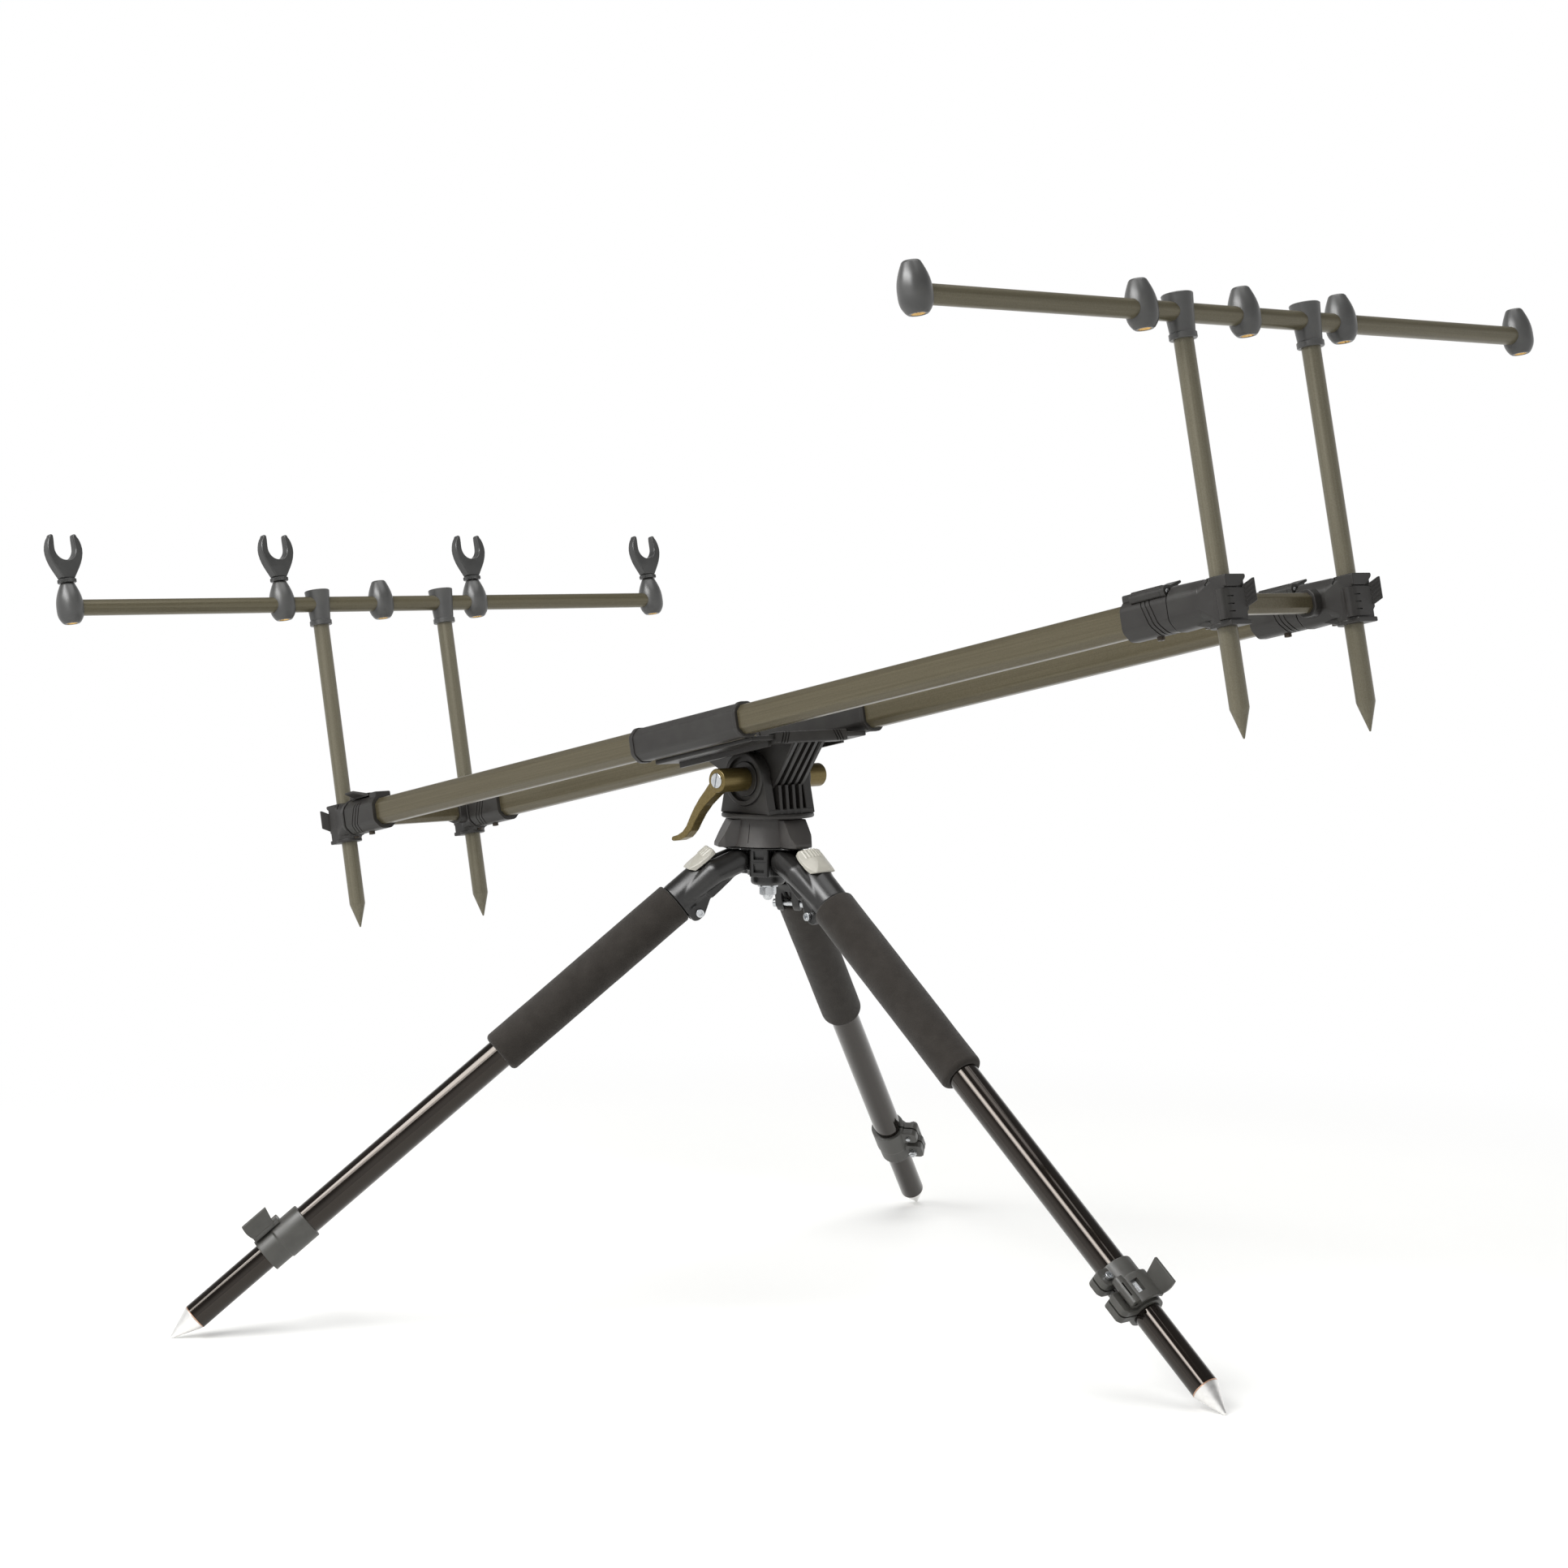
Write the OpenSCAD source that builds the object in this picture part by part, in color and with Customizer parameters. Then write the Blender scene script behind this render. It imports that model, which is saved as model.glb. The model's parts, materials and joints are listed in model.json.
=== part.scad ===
// Rod pod: a tripod with a swivel and tilt head that carries two telescopic rails,
// four sliding sticks and two long bars with threaded stations and rod rests.
// Millimetres, +Z up, ground at Z = 0 under the swivel axis, +X towards the high end of the rails.

/* [Beam] */
// Upward slope of the rails towards the front, in degrees
beam_pitch = 11.7; // [5:0.1:14]
// Distance between the centre lines of the two rails
rail_spacing = 160; // [150:1:170]
// Width of a rail
rail_w = 22; // [20:0.5:23]
// Height of a rail
rail_h = 27; // [26:0.5:28]
// Wall of a rail
rail_wall = 2; // [1.5:0.1:2.4]
// Corner bevel of a rail
rail_bevel = 6; // [4:0.5:7]
// Height of the rail axis above the tilt axis
rail_rise = 46; // [46:0.5:50]
// Distance from the tilt axis to the front sticks
front_reach = 630; // [560:1:700]
// Distance from the tilt axis to the rear sticks
rear_reach = 553; // [500:1:620]
// Length of a rail lock collar
collar_len = 50; // [46:1:60]
// Distance from the front sticks to their rail locks
front_neck = 44; // [36:1:60]
// Distance from the rear sticks to their rail locks
rear_neck = 17; // [16:0.5:20]
// Length of a sliding tube inside its rail
slide_len = 300; // [260:1:340]

/* [Sticks and bars] */
// Diameter of the sticks and of the bars
stick_d = 16; // [15:0.5:16]
// Wall of the stick and bar tubes
stick_wall = 1.4; // [1:0.1:2]
// Height of the front bar above the tilt axis, square to the rails
front_bar_rise = 275; // [240:1:300]
// Height of the rear bar above the tilt axis, square to the rails
rear_bar_rise = 272; // [240:1:300]
// Depth of the stick points below the tilt axis
stick_drop = 65; // [55:1:90]
// Length of a stick's point
stick_point = 24; // [15:1:30]
// Spacing of the rods along a bar
rod_spacing = 250; // [220:1:280]
// Height of a station above the bar's axis
station_top = 24; // [22:0.5:28]
// Depth of a station below the bar's axis
station_bottom = 15.7; // [14:0.1:18]
// Largest radius of a station
station_r = 13.3; // [12.5:0.1:15]
// Radius of the threaded hole in a station insert
thread_r = 4.15; // [4.1:0.01:4.4]

/* [Rod rests] */
// Radius of the throat that holds the rod
throat_r = 13.2; // [12:0.1:14]
// Outer radius of the rest's fork
fork_r = 20.5; // [19.5:0.5:22]
// Height of the throat's centre above the lock ring
throat_rise = 30; // [29:0.5:34]
// Thickness of the fork along the rod
fork_t = 9; // [8:0.5:11]
// Width of the fork's mouth
mouth_w = 21.6; // [19:0.2:23]

/* [Tripod] */
// Angle of the legs from upright, in degrees
splay = 50.44; // [40:0.02:54]
// Radius of the leg pivots
pivot_r = 31; // [31:0.5:33]
// Offset of a leg's axis above its pivot
leg_off = 7; // [6:0.5:8]
// Length of a leg from its pivot to the tip of its spike
leg_len = 670; // [640:1:720]
// Diameter of the upper leg tubes
upper_d = 28; // [27.6:0.1:28.4]
// Diameter of the lower leg tubes
lower_d = 24.5; // [24:0.1:24.6]
// Length of a spike
spike_len = 28; // [22:1:36]
// Outer diameter of the foam grips
foam_d = 40; // [37:0.5:42]
// Length of the foam grips
foam_len = 213; // [150:1:260]

/* [Head] */
// Height of the tilt axis above the leg pivots
tilt_rise = 76.2; // [75:0.1:84]
// Radius of the swivel flange
flange_r = 43; // [40:0.5:45]
// Radius of the tilt bolt
bolt_r = 6; // [5:0.5:6.5]
// Half length of the tilt bolt
bolt_reach = 65; // [58:1:66]
// Radius of the clamp lever's barrel
barrel_r = 11; // [9.5:0.5:12]

/* [Hidden] */
$fn = 64;
// Running clearance of shafts, and the gap of parts that are fixed to each other
fit = 0.06;
// Gap between pieces that move past each other
gap = 0.4;

ends = ["front", "rear"];
sides = ["near", "far"];
legs = ["left", "right", "rear"];
leg_azimuth = [240, 0, 120];
side_y = [-rail_spacing / 2, rail_spacing / 2];

spike_tip_r = 1.5;
pivot_z = (leg_len - spike_tip_r) * cos(splay) - leg_off * sin(splay) + spike_tip_r;
tilt_z = pivot_z + tilt_rise;
reach = [front_reach, -rear_reach];
neck = [front_neck, rear_neck];
bar_rise = [front_bar_rise, rear_bar_rise];
stick_r = stick_d / 2;

// Stations along a bar and the stations of the rear bar that hold a rest
station_y = [-1.5 * rod_spacing, -0.5 * rod_spacing, 0, 0.5 * rod_spacing, 1.5 * rod_spacing];
rest_stations = [0, 1, 3, 4];
insert_r = 5.6;
bar_half = 1.5 * rod_spacing + 8;

// Tilt hinge: plates of the saddle lie between plates of the yoke
plate_pitch = 8.5;
plate_t = 3.8;
cheek_y0 = 19.35;
cheek_y1 = 32;
eye_r = 24;
flange_z = -36;

// Places along a leg, from its pivot
yoke_z0 = 32;
foam_z0 = 68;
lock_z0 = 510;
tube_end = 537;
lock_z1 = 559;
lug_y = -21.5;

// Colours
olive = "#6b6350";
graphite = "#4a4848";
black = "#26241f";
pale = "#b5b0a6";
foam_black = "#37332e";
steel = "#c8ccd0";
brass = "#d9b98c";

// Frames

// Rail frame: X along the rails, origin on the tilt axis
module in_beam() {
    translate([0, 0, tilt_z]) rotate([0, -beam_pitch, 0]) children();
}

// Fitting frame: X outwards along the rail, origin where the stick's axis meets the rail's axis
module at_fitting(end, side) {
    in_beam()
        translate([reach[end], side_y[side], rail_rise])
            rotate([0, 0, 180 * end])
                children();
}

// Bar frame: Y along the bar, origin at the bar's middle
module on_bar(end) {
    in_beam() translate([reach[end], 0, bar_rise[end]]) children();
}

// Leg frame: Z down the leg on the tube's axis, X to the underside, pivot at X = leg_off
module on_leg(leg) {
    rotate([0, 0, leg_azimuth[leg]])
        translate([pivot_r, 0, pivot_z])
            rotate([0, 180 - splay, 0])
                translate([-leg_off, 0, 0])
                    children();
}

// Head frame: origin on the tilt axis, level
module at_tilt() {
    translate([0, 0, tilt_z]) children();
}

// Shared shapes

// Octagon of width w and height h with corner bevel c
module octagon(w, h, c) {
    polygon([
        [-w / 2 + c, -h / 2], [w / 2 - c, -h / 2], [w / 2, -h / 2 + c], [w / 2, h / 2 - c],
        [w / 2 - c, h / 2], [-w / 2 + c, h / 2], [-w / 2, h / 2 - c], [-w / 2, -h / 2 + c]
    ]);
}

// Rail section grown outwards by d
module rail_section(d) {
    octagon(rail_w + 2 * d, rail_h + 2 * d, rail_bevel + (2 - sqrt(2)) * d);
}

// Prism of a section in Y and Z, from x0 to x1
module along_x(x0, x1) {
    translate([x0, 0, 0]) rotate([90, 0, 90]) linear_extrude(x1 - x0) children();
}

// Prism of a section in X and Z, from y0 to y1
module along_y(y0, y1) {
    translate([0, y1, 0]) rotate([90, 0, 0]) linear_extrude(y1 - y0) children();
}

module rod_x(r, x0, x1) {
    translate([x0, 0, 0]) rotate([0, 90, 0]) cylinder(r = r, h = x1 - x0);
}

module rod_y(r, y0, y1) {
    translate([0, y0, 0]) rotate([-90, 0, 0]) cylinder(r = r, h = y1 - y0);
}

module rod_z(r, z0, z1) {
    translate([0, 0, z0]) cylinder(r = r, h = z1 - z0);
}

module box(low, high) {
    translate(low) cube(high - low);
}

module tube_z(r, wall, z0, z1) {
    difference() {
        rod_z(r, z0, z1);
        rod_z(r - wall, z0 - 1, z1 + 1);
    }
}

// Tripod head

hub_z0 = -14;
hub_z1 = 13.2;
lug_half = 7;

module leg_hub() {
    face_half = 9.6;
    face_r = 29;
    boss_r = 16;
    color(black)
        translate([0, 0, pivot_z])
            difference() {
                union() {
                    rod_z(19, hub_z0, hub_z1);
                    rod_z(boss_r, hub_z0 - 9.5, hub_z0 + 1);
                    for (a = leg_azimuth) {
                        rotate([0, 0, a]) {
                            box([0, -lug_half, -9], [pivot_r, lug_half, 9]);
                            translate([pivot_r, 0, 0]) rod_y(9, -lug_half, lug_half);
                        }
                        rotate([0, 0, a + 60]) box([0, -face_half, hub_z0], [face_r, face_half, hub_z1]);
                    }
                }
                for (a = leg_azimuth) {
                    rotate([0, 0, a]) translate([pivot_r, 0, 0]) rod_y(4 + fit, -30, 30);
                    // Two shallow pockets, one over the other, on each face between two legs
                    for (z = [-10, 2])
                        rotate([0, 0, a + 60]) box([face_r - 3, -5, z], [face_r + 1, 5, z + 8]);
                }
                rod_z(5 + fit, -40, 40);
            }
}

module hub_bolts() {
    pin_half = 18.4;
    color(steel)
        translate([0, 0, pivot_z]) {
            for (a = leg_azimuth)
                rotate([0, 0, a]) translate([pivot_r, 0, 0]) rod_y(4, -pin_half, pin_half);
            rod_z(5, -38, 23);
            rod_z(9.5, -25.2, -23.6);
            translate([0, 0, -33]) cylinder(r = 8, h = 8, $fn = 6);
        }
}

base_z0 = 13.3;
base_z1 = tilt_rise + flange_z - gap;

module head_base() {
    block_w = 28;
    block_r0 = 22;
    spigot_depth = 15;
    color(graphite)
        translate([0, 0, pivot_z])
            difference() {
                union() {
                    translate([0, 0, base_z0 + 0.6])
                        cylinder(r1 = 38, r2 = 34, h = base_z1 - base_z0 - 0.6);
                    for (a = leg_azimuth)
                        rotate([0, 0, a])
                            along_y(-block_w / 2, block_w / 2)
                                polygon([
                                    [block_r0, base_z0], [47, base_z0], [47, base_z0 + 4], [43, base_z0 + 12],
                                    [39.5, base_z0 + 20], [37.5, base_z1 - 0.8], [block_r0, base_z1 - 0.8]
                                ]);
                }
                rod_z(14 + fit, base_z1 - spigot_depth, base_z1 + 1);
                rod_z(5 + fit, 0, 60);
            }
}

// Legs

// The yoke's horn on the +Y side, from the pivot to the tube collar
module horn() {
    mid = [0, 13, 24];
    hull() {
        translate([leg_off, 0, 0]) rod_y(10, lug_half + gap, 16, $fn = 32);
        translate([leg_off, 0, 0]) rod_y(7, lug_half + gap, 18.6, $fn = 32);
        translate(mid) sphere(r = 9, $fn = 32);
    }
    hull() {
        translate(mid) sphere(r = 9, $fn = 32);
        translate([1, 7, 46]) sphere(r = 9, $fn = 32);
    }
}

// Pinch screw of a yoke: its place in X and Z, and the faces of the ear on the +Y side
pinch_at = [20.5, 58];
ear_y = [4.6, 11.5];

// Ear of the tube clamp on the +Y side
module ear() {
    along_y(ear_y[0], ear_y[1])
        polygon([[10, 36], [16, 40], [22, 50], [25.5, 56], [25.5, 63], [23, 67], [10, 67]]);
}

module leg_yoke(leg) {
    collar_r = upper_d / 2 + 3.2;
    color(black)
        on_leg(leg)
            difference() {
                union() {
                    rod_z(collar_r, yoke_z0, foam_z0 - gap);
                    for (s = [0, 1])
                        mirror([0, s, 0]) {
                            ear();
                            horn();
                        }
                }
                rod_z(upper_d / 2 + fit, yoke_z0 + 2, foam_z0 + 40);
                // Room for the hub's lug and for the catch of the angle tab
                translate([leg_off, 0, 0]) rod_y(15, -lug_half - gap, lug_half + gap);
                box([-22, -lug_half - gap, 8], [2, lug_half + gap, yoke_z0]);
                translate([leg_off, 0, 0]) rod_y(4 + fit, -30, 30);
                // Pinch slit and its screw hole
                box([12, -1.2, 44], [40, 1.2, 80]);
                translate([pinch_at[0], 0, pinch_at[1]]) rod_y(2.5 + fit, -20, 20);
            }
}

module upper_tube(leg) {
    color(black) on_leg(leg) tube_z(upper_d / 2, 1.35, yoke_z0 + 2.2, tube_end);
}

module foam_grip(leg) {
    r0 = upper_d / 2 + fit;
    r1 = foam_d / 2;
    round_r = 2.5;
    color(foam_black)
        on_leg(leg)
            translate([0, 0, foam_z0])
                rotate_extrude()
                    polygon([
                        [r0, 0], [r1 - round_r, 0],
                        for (a = [15:15:75]) [r1 - round_r + round_r * sin(a), round_r - round_r * cos(a)],
                        [r1, round_r], [r1, foam_len - round_r],
                        for (a = [15:15:75])
                            [r1 - round_r + round_r * cos(a), foam_len - round_r + round_r * sin(a)],
                        [r1 - round_r, foam_len], [r0, foam_len]
                    ]);
}

module lock_collar(leg) {
    color(black)
        on_leg(leg)
            difference() {
                union() {
                    rod_z(upper_d / 2 + 3.3, lock_z0, 540);
                    rod_z(lower_d / 2 + 4, 539, lock_z1);
                    for (z = [[512, 530], [537.5, lock_z1]]) {
                        box([-7, lug_y, z[0]], [7, 0, z[1]]);
                        translate([0, lug_y, (z[0] + z[1]) / 2])
                            rod_x((z[1] - z[0]) / 2, -7, 7);
                    }
                }
                rod_z(upper_d / 2 + fit, lock_z0 - 1, tube_end + 0.2);
                rod_z(lower_d / 2 + 0.35, lock_z0 - 1, lock_z1 + 1);
                // Slits that let the two rings close
                box([-0.8, -40, lock_z0 - 1], [0.8, -12, 532]);
                box([-0.8, -40, 536], [0.8, -11, lock_z1 + 1]);
                for (z = [521, 548.25])
                    translate([0, lug_y, z]) rod_x(2.5 + fit, -20, 20);
            }
}

module leg_screws(leg) {
    color(steel)
        on_leg(leg) {
            // Pinch screw of the yoke, with a socket head and a barrel nut
            translate([pinch_at[0], 0, pinch_at[1]])
                difference() {
                    union() {
                        rod_y(2.5, -ear_y[1] - 1, ear_y[1] + 1);
                        for (s = [0, 1])
                            mirror([0, s, 0]) rod_y(4.3, ear_y[1] + 0.1, ear_y[1] + 3.5);
                    }
                    for (s = [0, 1])
                        mirror([0, s, 0]) rod_y(2, ear_y[1] + 1.9, ear_y[1] + 5);
                }
            // Clamp screw of the upper ring, with a socket head
            translate([0, lug_y, 521]) {
                rod_x(2.5, -8, 9.5);
                difference() {
                    rod_x(4.3, -10.4, -7.1);
                    rod_x(2, -11, -8.6);
                }
            }
            // Draw bolt of the lower ring, with a hexagon nut
            translate([0, lug_y, 548.25]) {
                rod_x(2.5, -6.5, 13);
                translate([7.1, 0, 0]) rotate([0, 90, 0]) tube_hex(4.6, 2.5 + fit, 4);
            }
        }
}

module tube_hex(r, hole_r, h) {
    difference() {
        cylinder(r = r, h = h, $fn = 6);
        translate([0, 0, -1]) cylinder(r = hole_r, h = h + 2);
    }
}

module angle_tab(leg) {
    inner_r = upper_d / 2 + 3.2 + gap;
    color(pale)
        on_leg(leg) {
            difference() {
                intersection() {
                    rod_z(inner_r + 3.8, 17, 56);
                    box([-30, -13, 17], [-10, 13, 56]);
                }
                rod_z(inner_r, 0, 80);
                // Finger hollow across the tab
                translate([-26.5, 0, 36]) rod_y(7, -20, 20);
            }
            box([-inner_r - 2, -6, 17], [-6, 6, 25]);
        }
}

module lock_lever(leg) {
    r0 = 18.4;
    r1 = 21.6;
    z0 = 529;
    z1 = 557;
    color(black)
        on_leg(leg)
            difference() {
                union() {
                    intersection() {
                        tube_z(r1, r1 - r0, z0, z1);
                        box([-30, -22, z0], [-7.6, 17, z1]);
                    }
                    translate([-13.2, lug_y, 0]) rod_z(5.4, z0, z1);
                    // Winged thumb tab
                    translate([0, 0, z0 + 1])
                        linear_extrude(19)
                            polygon([[-18.6, 9], [-13, 14.5], [-15.5, 30], [-19, 30.5]]);
                }
                // Window over the draw bolt's cross pin
                box([-30, -5, 535], [-10, 2, 549]);
                translate([-13.2, lug_y, 0]) rod_z(2, z0 - 1, z1 + 1);
            }
}

module lower_tube(leg) {
    color(black) on_leg(leg) tube_z(lower_d / 2, 1.3, 160, leg_len - spike_len);
}

module spike_foot(leg) {
    base_r = lower_d / 2;
    z0 = leg_len - spike_len;
    half_angle = atan(base_r / spike_len);
    color(steel)
        on_leg(leg) {
            rod_z(base_r - 1.3 - fit, z0 - 20, z0 + 1);
            translate([0, 0, z0 + fit])
                cylinder(
                    r1 = base_r, r2 = spike_tip_r * cos(half_angle),
                    h = spike_len - spike_tip_r * (1 - sin(half_angle)) - fit
                );
            translate([0, 0, leg_len - spike_tip_r]) sphere(r = spike_tip_r);
        }
}

// Swivel and tilt head

module swivel_yoke() {
    base_half = 33;
    color(graphite)
        at_tilt()
            difference() {
                union() {
                    rod_z(flange_r, flange_z, flange_z + 4);
                    rod_z(14, flange_z - 14, flange_z + 1);
                    box([-base_half, -cheek_y1, flange_z + 3], [base_half, cheek_y1, flange_z + 9]);
                    for (s = [-1, 1])
                        mirror([0, s < 0 ? 1 : 0, 0])
                            along_y(cheek_y0, cheek_y1) {
                                circle(r = 25.5);
                                polygon([
                                    [-base_half, flange_z + 4], [base_half, flange_z + 4],
                                    [25.3, 2], [-25.3, 2]
                                ]);
                            }
                    for (i = [-1.5:1:1.5])
                        along_y(i * plate_pitch - plate_t / 2, i * plate_pitch + plate_t / 2) {
                            circle(r = 20);
                            polygon([
                                [-base_half + 2, flange_z + 4], [base_half, flange_z + 4],
                                [30, -5], [0, -5], [-19, 3]
                            ]);
                        }
                }
                rod_y(bolt_r + fit, -40, 40);
                // Round recess in each cheek
                for (s = [-1, 1])
                    mirror([0, s < 0 ? 1 : 0, 0]) rod_y(21, cheek_y1 - 3, cheek_y1 + 1);
            }
}

module tilt_bolt() {
    cap_y0 = cheek_y1 - 3 + fit;
    color(olive)
        at_tilt()
            difference() {
                union() {
                    rod_y(bolt_r, -bolt_reach + 2, cap_y0 + 1);
                    rod_y(barrel_r, cap_y0, bolt_reach + 1);
                    rod_y(7, -bolt_reach, -bolt_reach + 2.5);
                }
                // Screwdriver slot
                box([-1, -bolt_reach - 1, -8], [1, -bolt_reach + 1.2, 8]);
            }
}

// Centre line of the clamp lever's arm, in X and Z from the tilt axis, and its half thickness
lever_path = [
    [-6, -7, 5.5], [-21, -19, 5.2], [-31.5, -30, 4.8], [-39, -42, 4.6], [-47, -53, 3.8], [-63, -58, 2.4]
];

module clamp_lever() {
    arm_y0 = -62;
    arm_y1 = -51;
    color(olive)
        at_tilt()
            difference() {
                union() {
                    rod_y(barrel_r, -bolt_reach + 1, -cheek_y1 + 3 - gap);
                    for (i = [0:len(lever_path) - 2])
                        hull()
                            for (p = [lever_path[i], lever_path[i + 1]])
                                translate([p[0], 0, p[1]]) rod_y(p[2], arm_y0, arm_y1, $fn = 32);
                }
                rod_y(bolt_r + fit, -80, -20);
                rod_y(7 + fit, -80, -bolt_reach + 2.5 + fit);
            }
}

module saddle() {
    sleeve_wall = 2;
    sleeve_x = [-79, 69];
    plate_z = [26.5, 31];
    color(graphite)
        in_beam()
            difference() {
                union() {
                    for (y = side_y)
                        translate([0, y, rail_rise])
                            along_x(sleeve_x[0], sleeve_x[1]) rail_section(sleeve_wall);
                    box([-72, -rail_spacing / 2 + 8, plate_z[0]], [64, rail_spacing / 2 - 8, plate_z[1]]);
                    for (y = [-46, 46])
                        box([-66, y - 2, plate_z[0] - 5], [58, y + 2, plate_z[0] + 1]);
                    for (i = [-2:2])
                        along_y(i * plate_pitch - plate_t / 2, i * plate_pitch + plate_t / 2) {
                            circle(r = eye_r);
                            polygon([
                                [-60, plate_z[0] + 1], [67, plate_z[0] + 1], [67, plate_z[0] - 1],
                                [29, -9], [10, -20], [-20, -12], [-23, 0]
                            ]);
                        }
                }
                for (y = side_y)
                    translate([0, y, rail_rise]) along_x(-100, 100) rail_section(fit);
                rod_y(bolt_r + fit, -40, 40);
            }
}

// Rails, their locks and the sliding ends

// Outer end of each rail, at its lock collar
rail_x = [front_reach - front_neck - 2.4, -rear_reach + rear_neck + 2.4];

module rails() {
    color(olive)
        in_beam()
            for (y = side_y)
                translate([0, y, rail_rise])
                    difference() {
                        along_x(rail_x[1], rail_x[0]) rail_section(0);
                        along_x(rail_x[1] - 1, rail_x[0] + 1) rail_section(-rail_wall);
                    }
}

// Lever seat on a lock collar: hinge axis in Y and Z, and the lever's span back from the parting line
hinge_y = -11.5;
hinge_z = rail_h / 2 + 1.9;
hinge_r = 4.2;
lever_x = [-38, -6];

module rail_collars() {
    color(graphite)
        for (end = [0, 1])
            for (side = [0, 1])
                at_fitting(end, side)
                    translate([-neck[end], 0, 0])
                        difference() {
                            along_x(-collar_len, -gap) rail_section(4);
                            along_x(-collar_len - 1, -2.3) rail_section(fit);
                            along_x(-10, 1) rail_section(-rail_wall + 0.1);
                            translate([0, hinge_y, hinge_z])
                                rod_x(hinge_r + gap, lever_x[0] - gap, lever_x[1] + gap);
                        }
}

module rail_lever(end, side) {
    plate_z = rail_h / 2 + 4 + gap;
    color(graphite)
        at_fitting(end, side)
            translate([-neck[end], 0, 0]) {
                translate([0, hinge_y, hinge_z]) rod_x(hinge_r, lever_x[0], lever_x[1]);
                along_x(lever_x[0], lever_x[1])
                    polygon([
                        [hinge_y - 2, hinge_z + 3], [hinge_y + 4, plate_z], [9, plate_z],
                        [9, plate_z + 3], [hinge_y, plate_z + 3]
                    ]);
                // Raised thumb tab
                along_x(lever_x[1] - 20, lever_x[1])
                    polygon([[8, plate_z], [16, plate_z + 5], [14.5, plate_z + 7.5], [6, plate_z + 3]]);
            }
}

slide_gap = 0.4;

module slide_section(d) {
    rail_section(-rail_wall - slide_gap + d);
}

crossbar_x = [-front_neck / 2 - 5, -5];

module slide_tubes(end) {
    color(olive) {
        for (side = [0, 1])
            at_fitting(end, side)
                difference() {
                    along_x(-neck[end] - slide_len, -neck[end] / 2 - 4) slide_section(0);
                    along_x(-neck[end] - slide_len - 1, 0) slide_section(-1.8);
                }
        in_beam()
            translate([reach[end], 0, rail_rise])
                rotate([0, 0, 180 * end])
                    translate([crossbar_x[end], 0, 0])
                        along_y(-rail_spacing / 2 + 11, rail_spacing / 2 - 11) octagon(15, 16.5, 4);
    }
}

// Stick clamp of an end block: its height range and the hinge of its lever
clamp_z = [-23, 17];
clamp_r = 12.5;
stick_hinge = [9, -12];
stick_hinge_r = 4.4;
lever_z = [-18, 6];

module end_blocks(end) {
    border_t = 2.4;
    color(graphite)
        for (side = [0, 1])
            at_fitting(end, side)
                difference() {
                    union() {
                        along_x(-neck[end], -6) rail_section(4);
                        rod_z(clamp_r, clamp_z[0], clamp_z[1]);
                        box([0, -clamp_r, clamp_z[0]], [13, clamp_r, clamp_z[1]]);
                        // Borders round the lever, flush with it
                        box([12, -clamp_r, clamp_z[0]], [13 + border_t, clamp_r, lever_z[0] - 0.6]);
                        along_x(12, 13 + border_t)
                            polygon([
                                [-clamp_r, lever_z[1] + 0.6], [4, lever_z[1] + 0.6], [clamp_r, 13.5],
                                [clamp_r, clamp_z[1]], [-clamp_r, clamp_z[1]]
                            ]);
                        // Socket of the crossbar
                        translate([crossbar_x[end], 0, 0])
                            mirror([0, abs(side - end), 0])
                                along_y(12, 24) octagon(21, 22.5, 5.5);
                    }
                    // Pockets for the sliding tube and for the crossbar
                    along_x(-neck[end] - 1, -neck[end] / 2 - 4 + fit) slide_section(fit);
                    translate([crossbar_x[end], 0, 0])
                        mirror([0, abs(side - end), 0])
                            along_y(11 - fit, 40) octagon(15 + 2 * fit, 16.5 + 2 * fit, 4);
                    rod_z(stick_r + fit, -60, 60);
                    translate([stick_hinge[0], stick_hinge[1], 0])
                        rod_z(stick_hinge_r + gap, lever_z[0] - gap, lever_z[1] + gap);
                }
}

module stick_lever(end, side) {
    plate_x = 13 + gap;
    color(graphite)
        at_fitting(end, side) {
            translate([stick_hinge[0], stick_hinge[1], 0]) rod_z(stick_hinge_r, lever_z[0], lever_z[1]);
            difference() {
                translate([0, 0, lever_z[0]])
                    linear_extrude(lever_z[1] - lever_z[0])
                        polygon([
                            [stick_hinge[0] + 3, stick_hinge[1] - 3], [plate_x + 2, -10], [plate_x + 2, 11],
                            [plate_x, 11], [plate_x, -10]
                        ]);
                // Corner cut off under the thumb tab
                along_x(plate_x - 1, plate_x + 3)
                    polygon([[12, lever_z[0] - 1], [12, lever_z[0] + 8], [3, lever_z[0] - 1]]);
            }
            // Raised thumb tab
            translate([0, 0, lever_z[0] + 12])
                linear_extrude(14)
                    polygon([[plate_x, 9], [plate_x + 2, 9], [plate_x + 7, 17], [plate_x + 4.6, 18]]);
        }
}

// Sticks and bars

module sticks(end) {
    top = bar_rise[end] - stick_r - 0.5;
    shoulder = -stick_drop + stick_point;
    color(olive)
        in_beam()
            for (y = side_y)
                translate([reach[end], y, 0])
                    difference() {
                        union() {
                            rod_z(stick_r, shoulder, top);
                            translate([0, 0, -stick_drop])
                                cylinder(r1 = 0.8, r2 = stick_r, h = stick_point);
                        }
                        rod_z(stick_r - stick_wall, shoulder + 4, top + 1);
                    }
}

module buzz_bar(end) {
    color(olive)
        on_bar(end)
            difference() {
                rod_y(stick_r, -bar_half, bar_half);
                rod_y(stick_r - stick_wall, -bar_half - 1, bar_half + 1);
                for (y = station_y)
                    translate([0, y, 0]) rod_z(insert_r + fit, -20, 20);
            }
}

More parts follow.
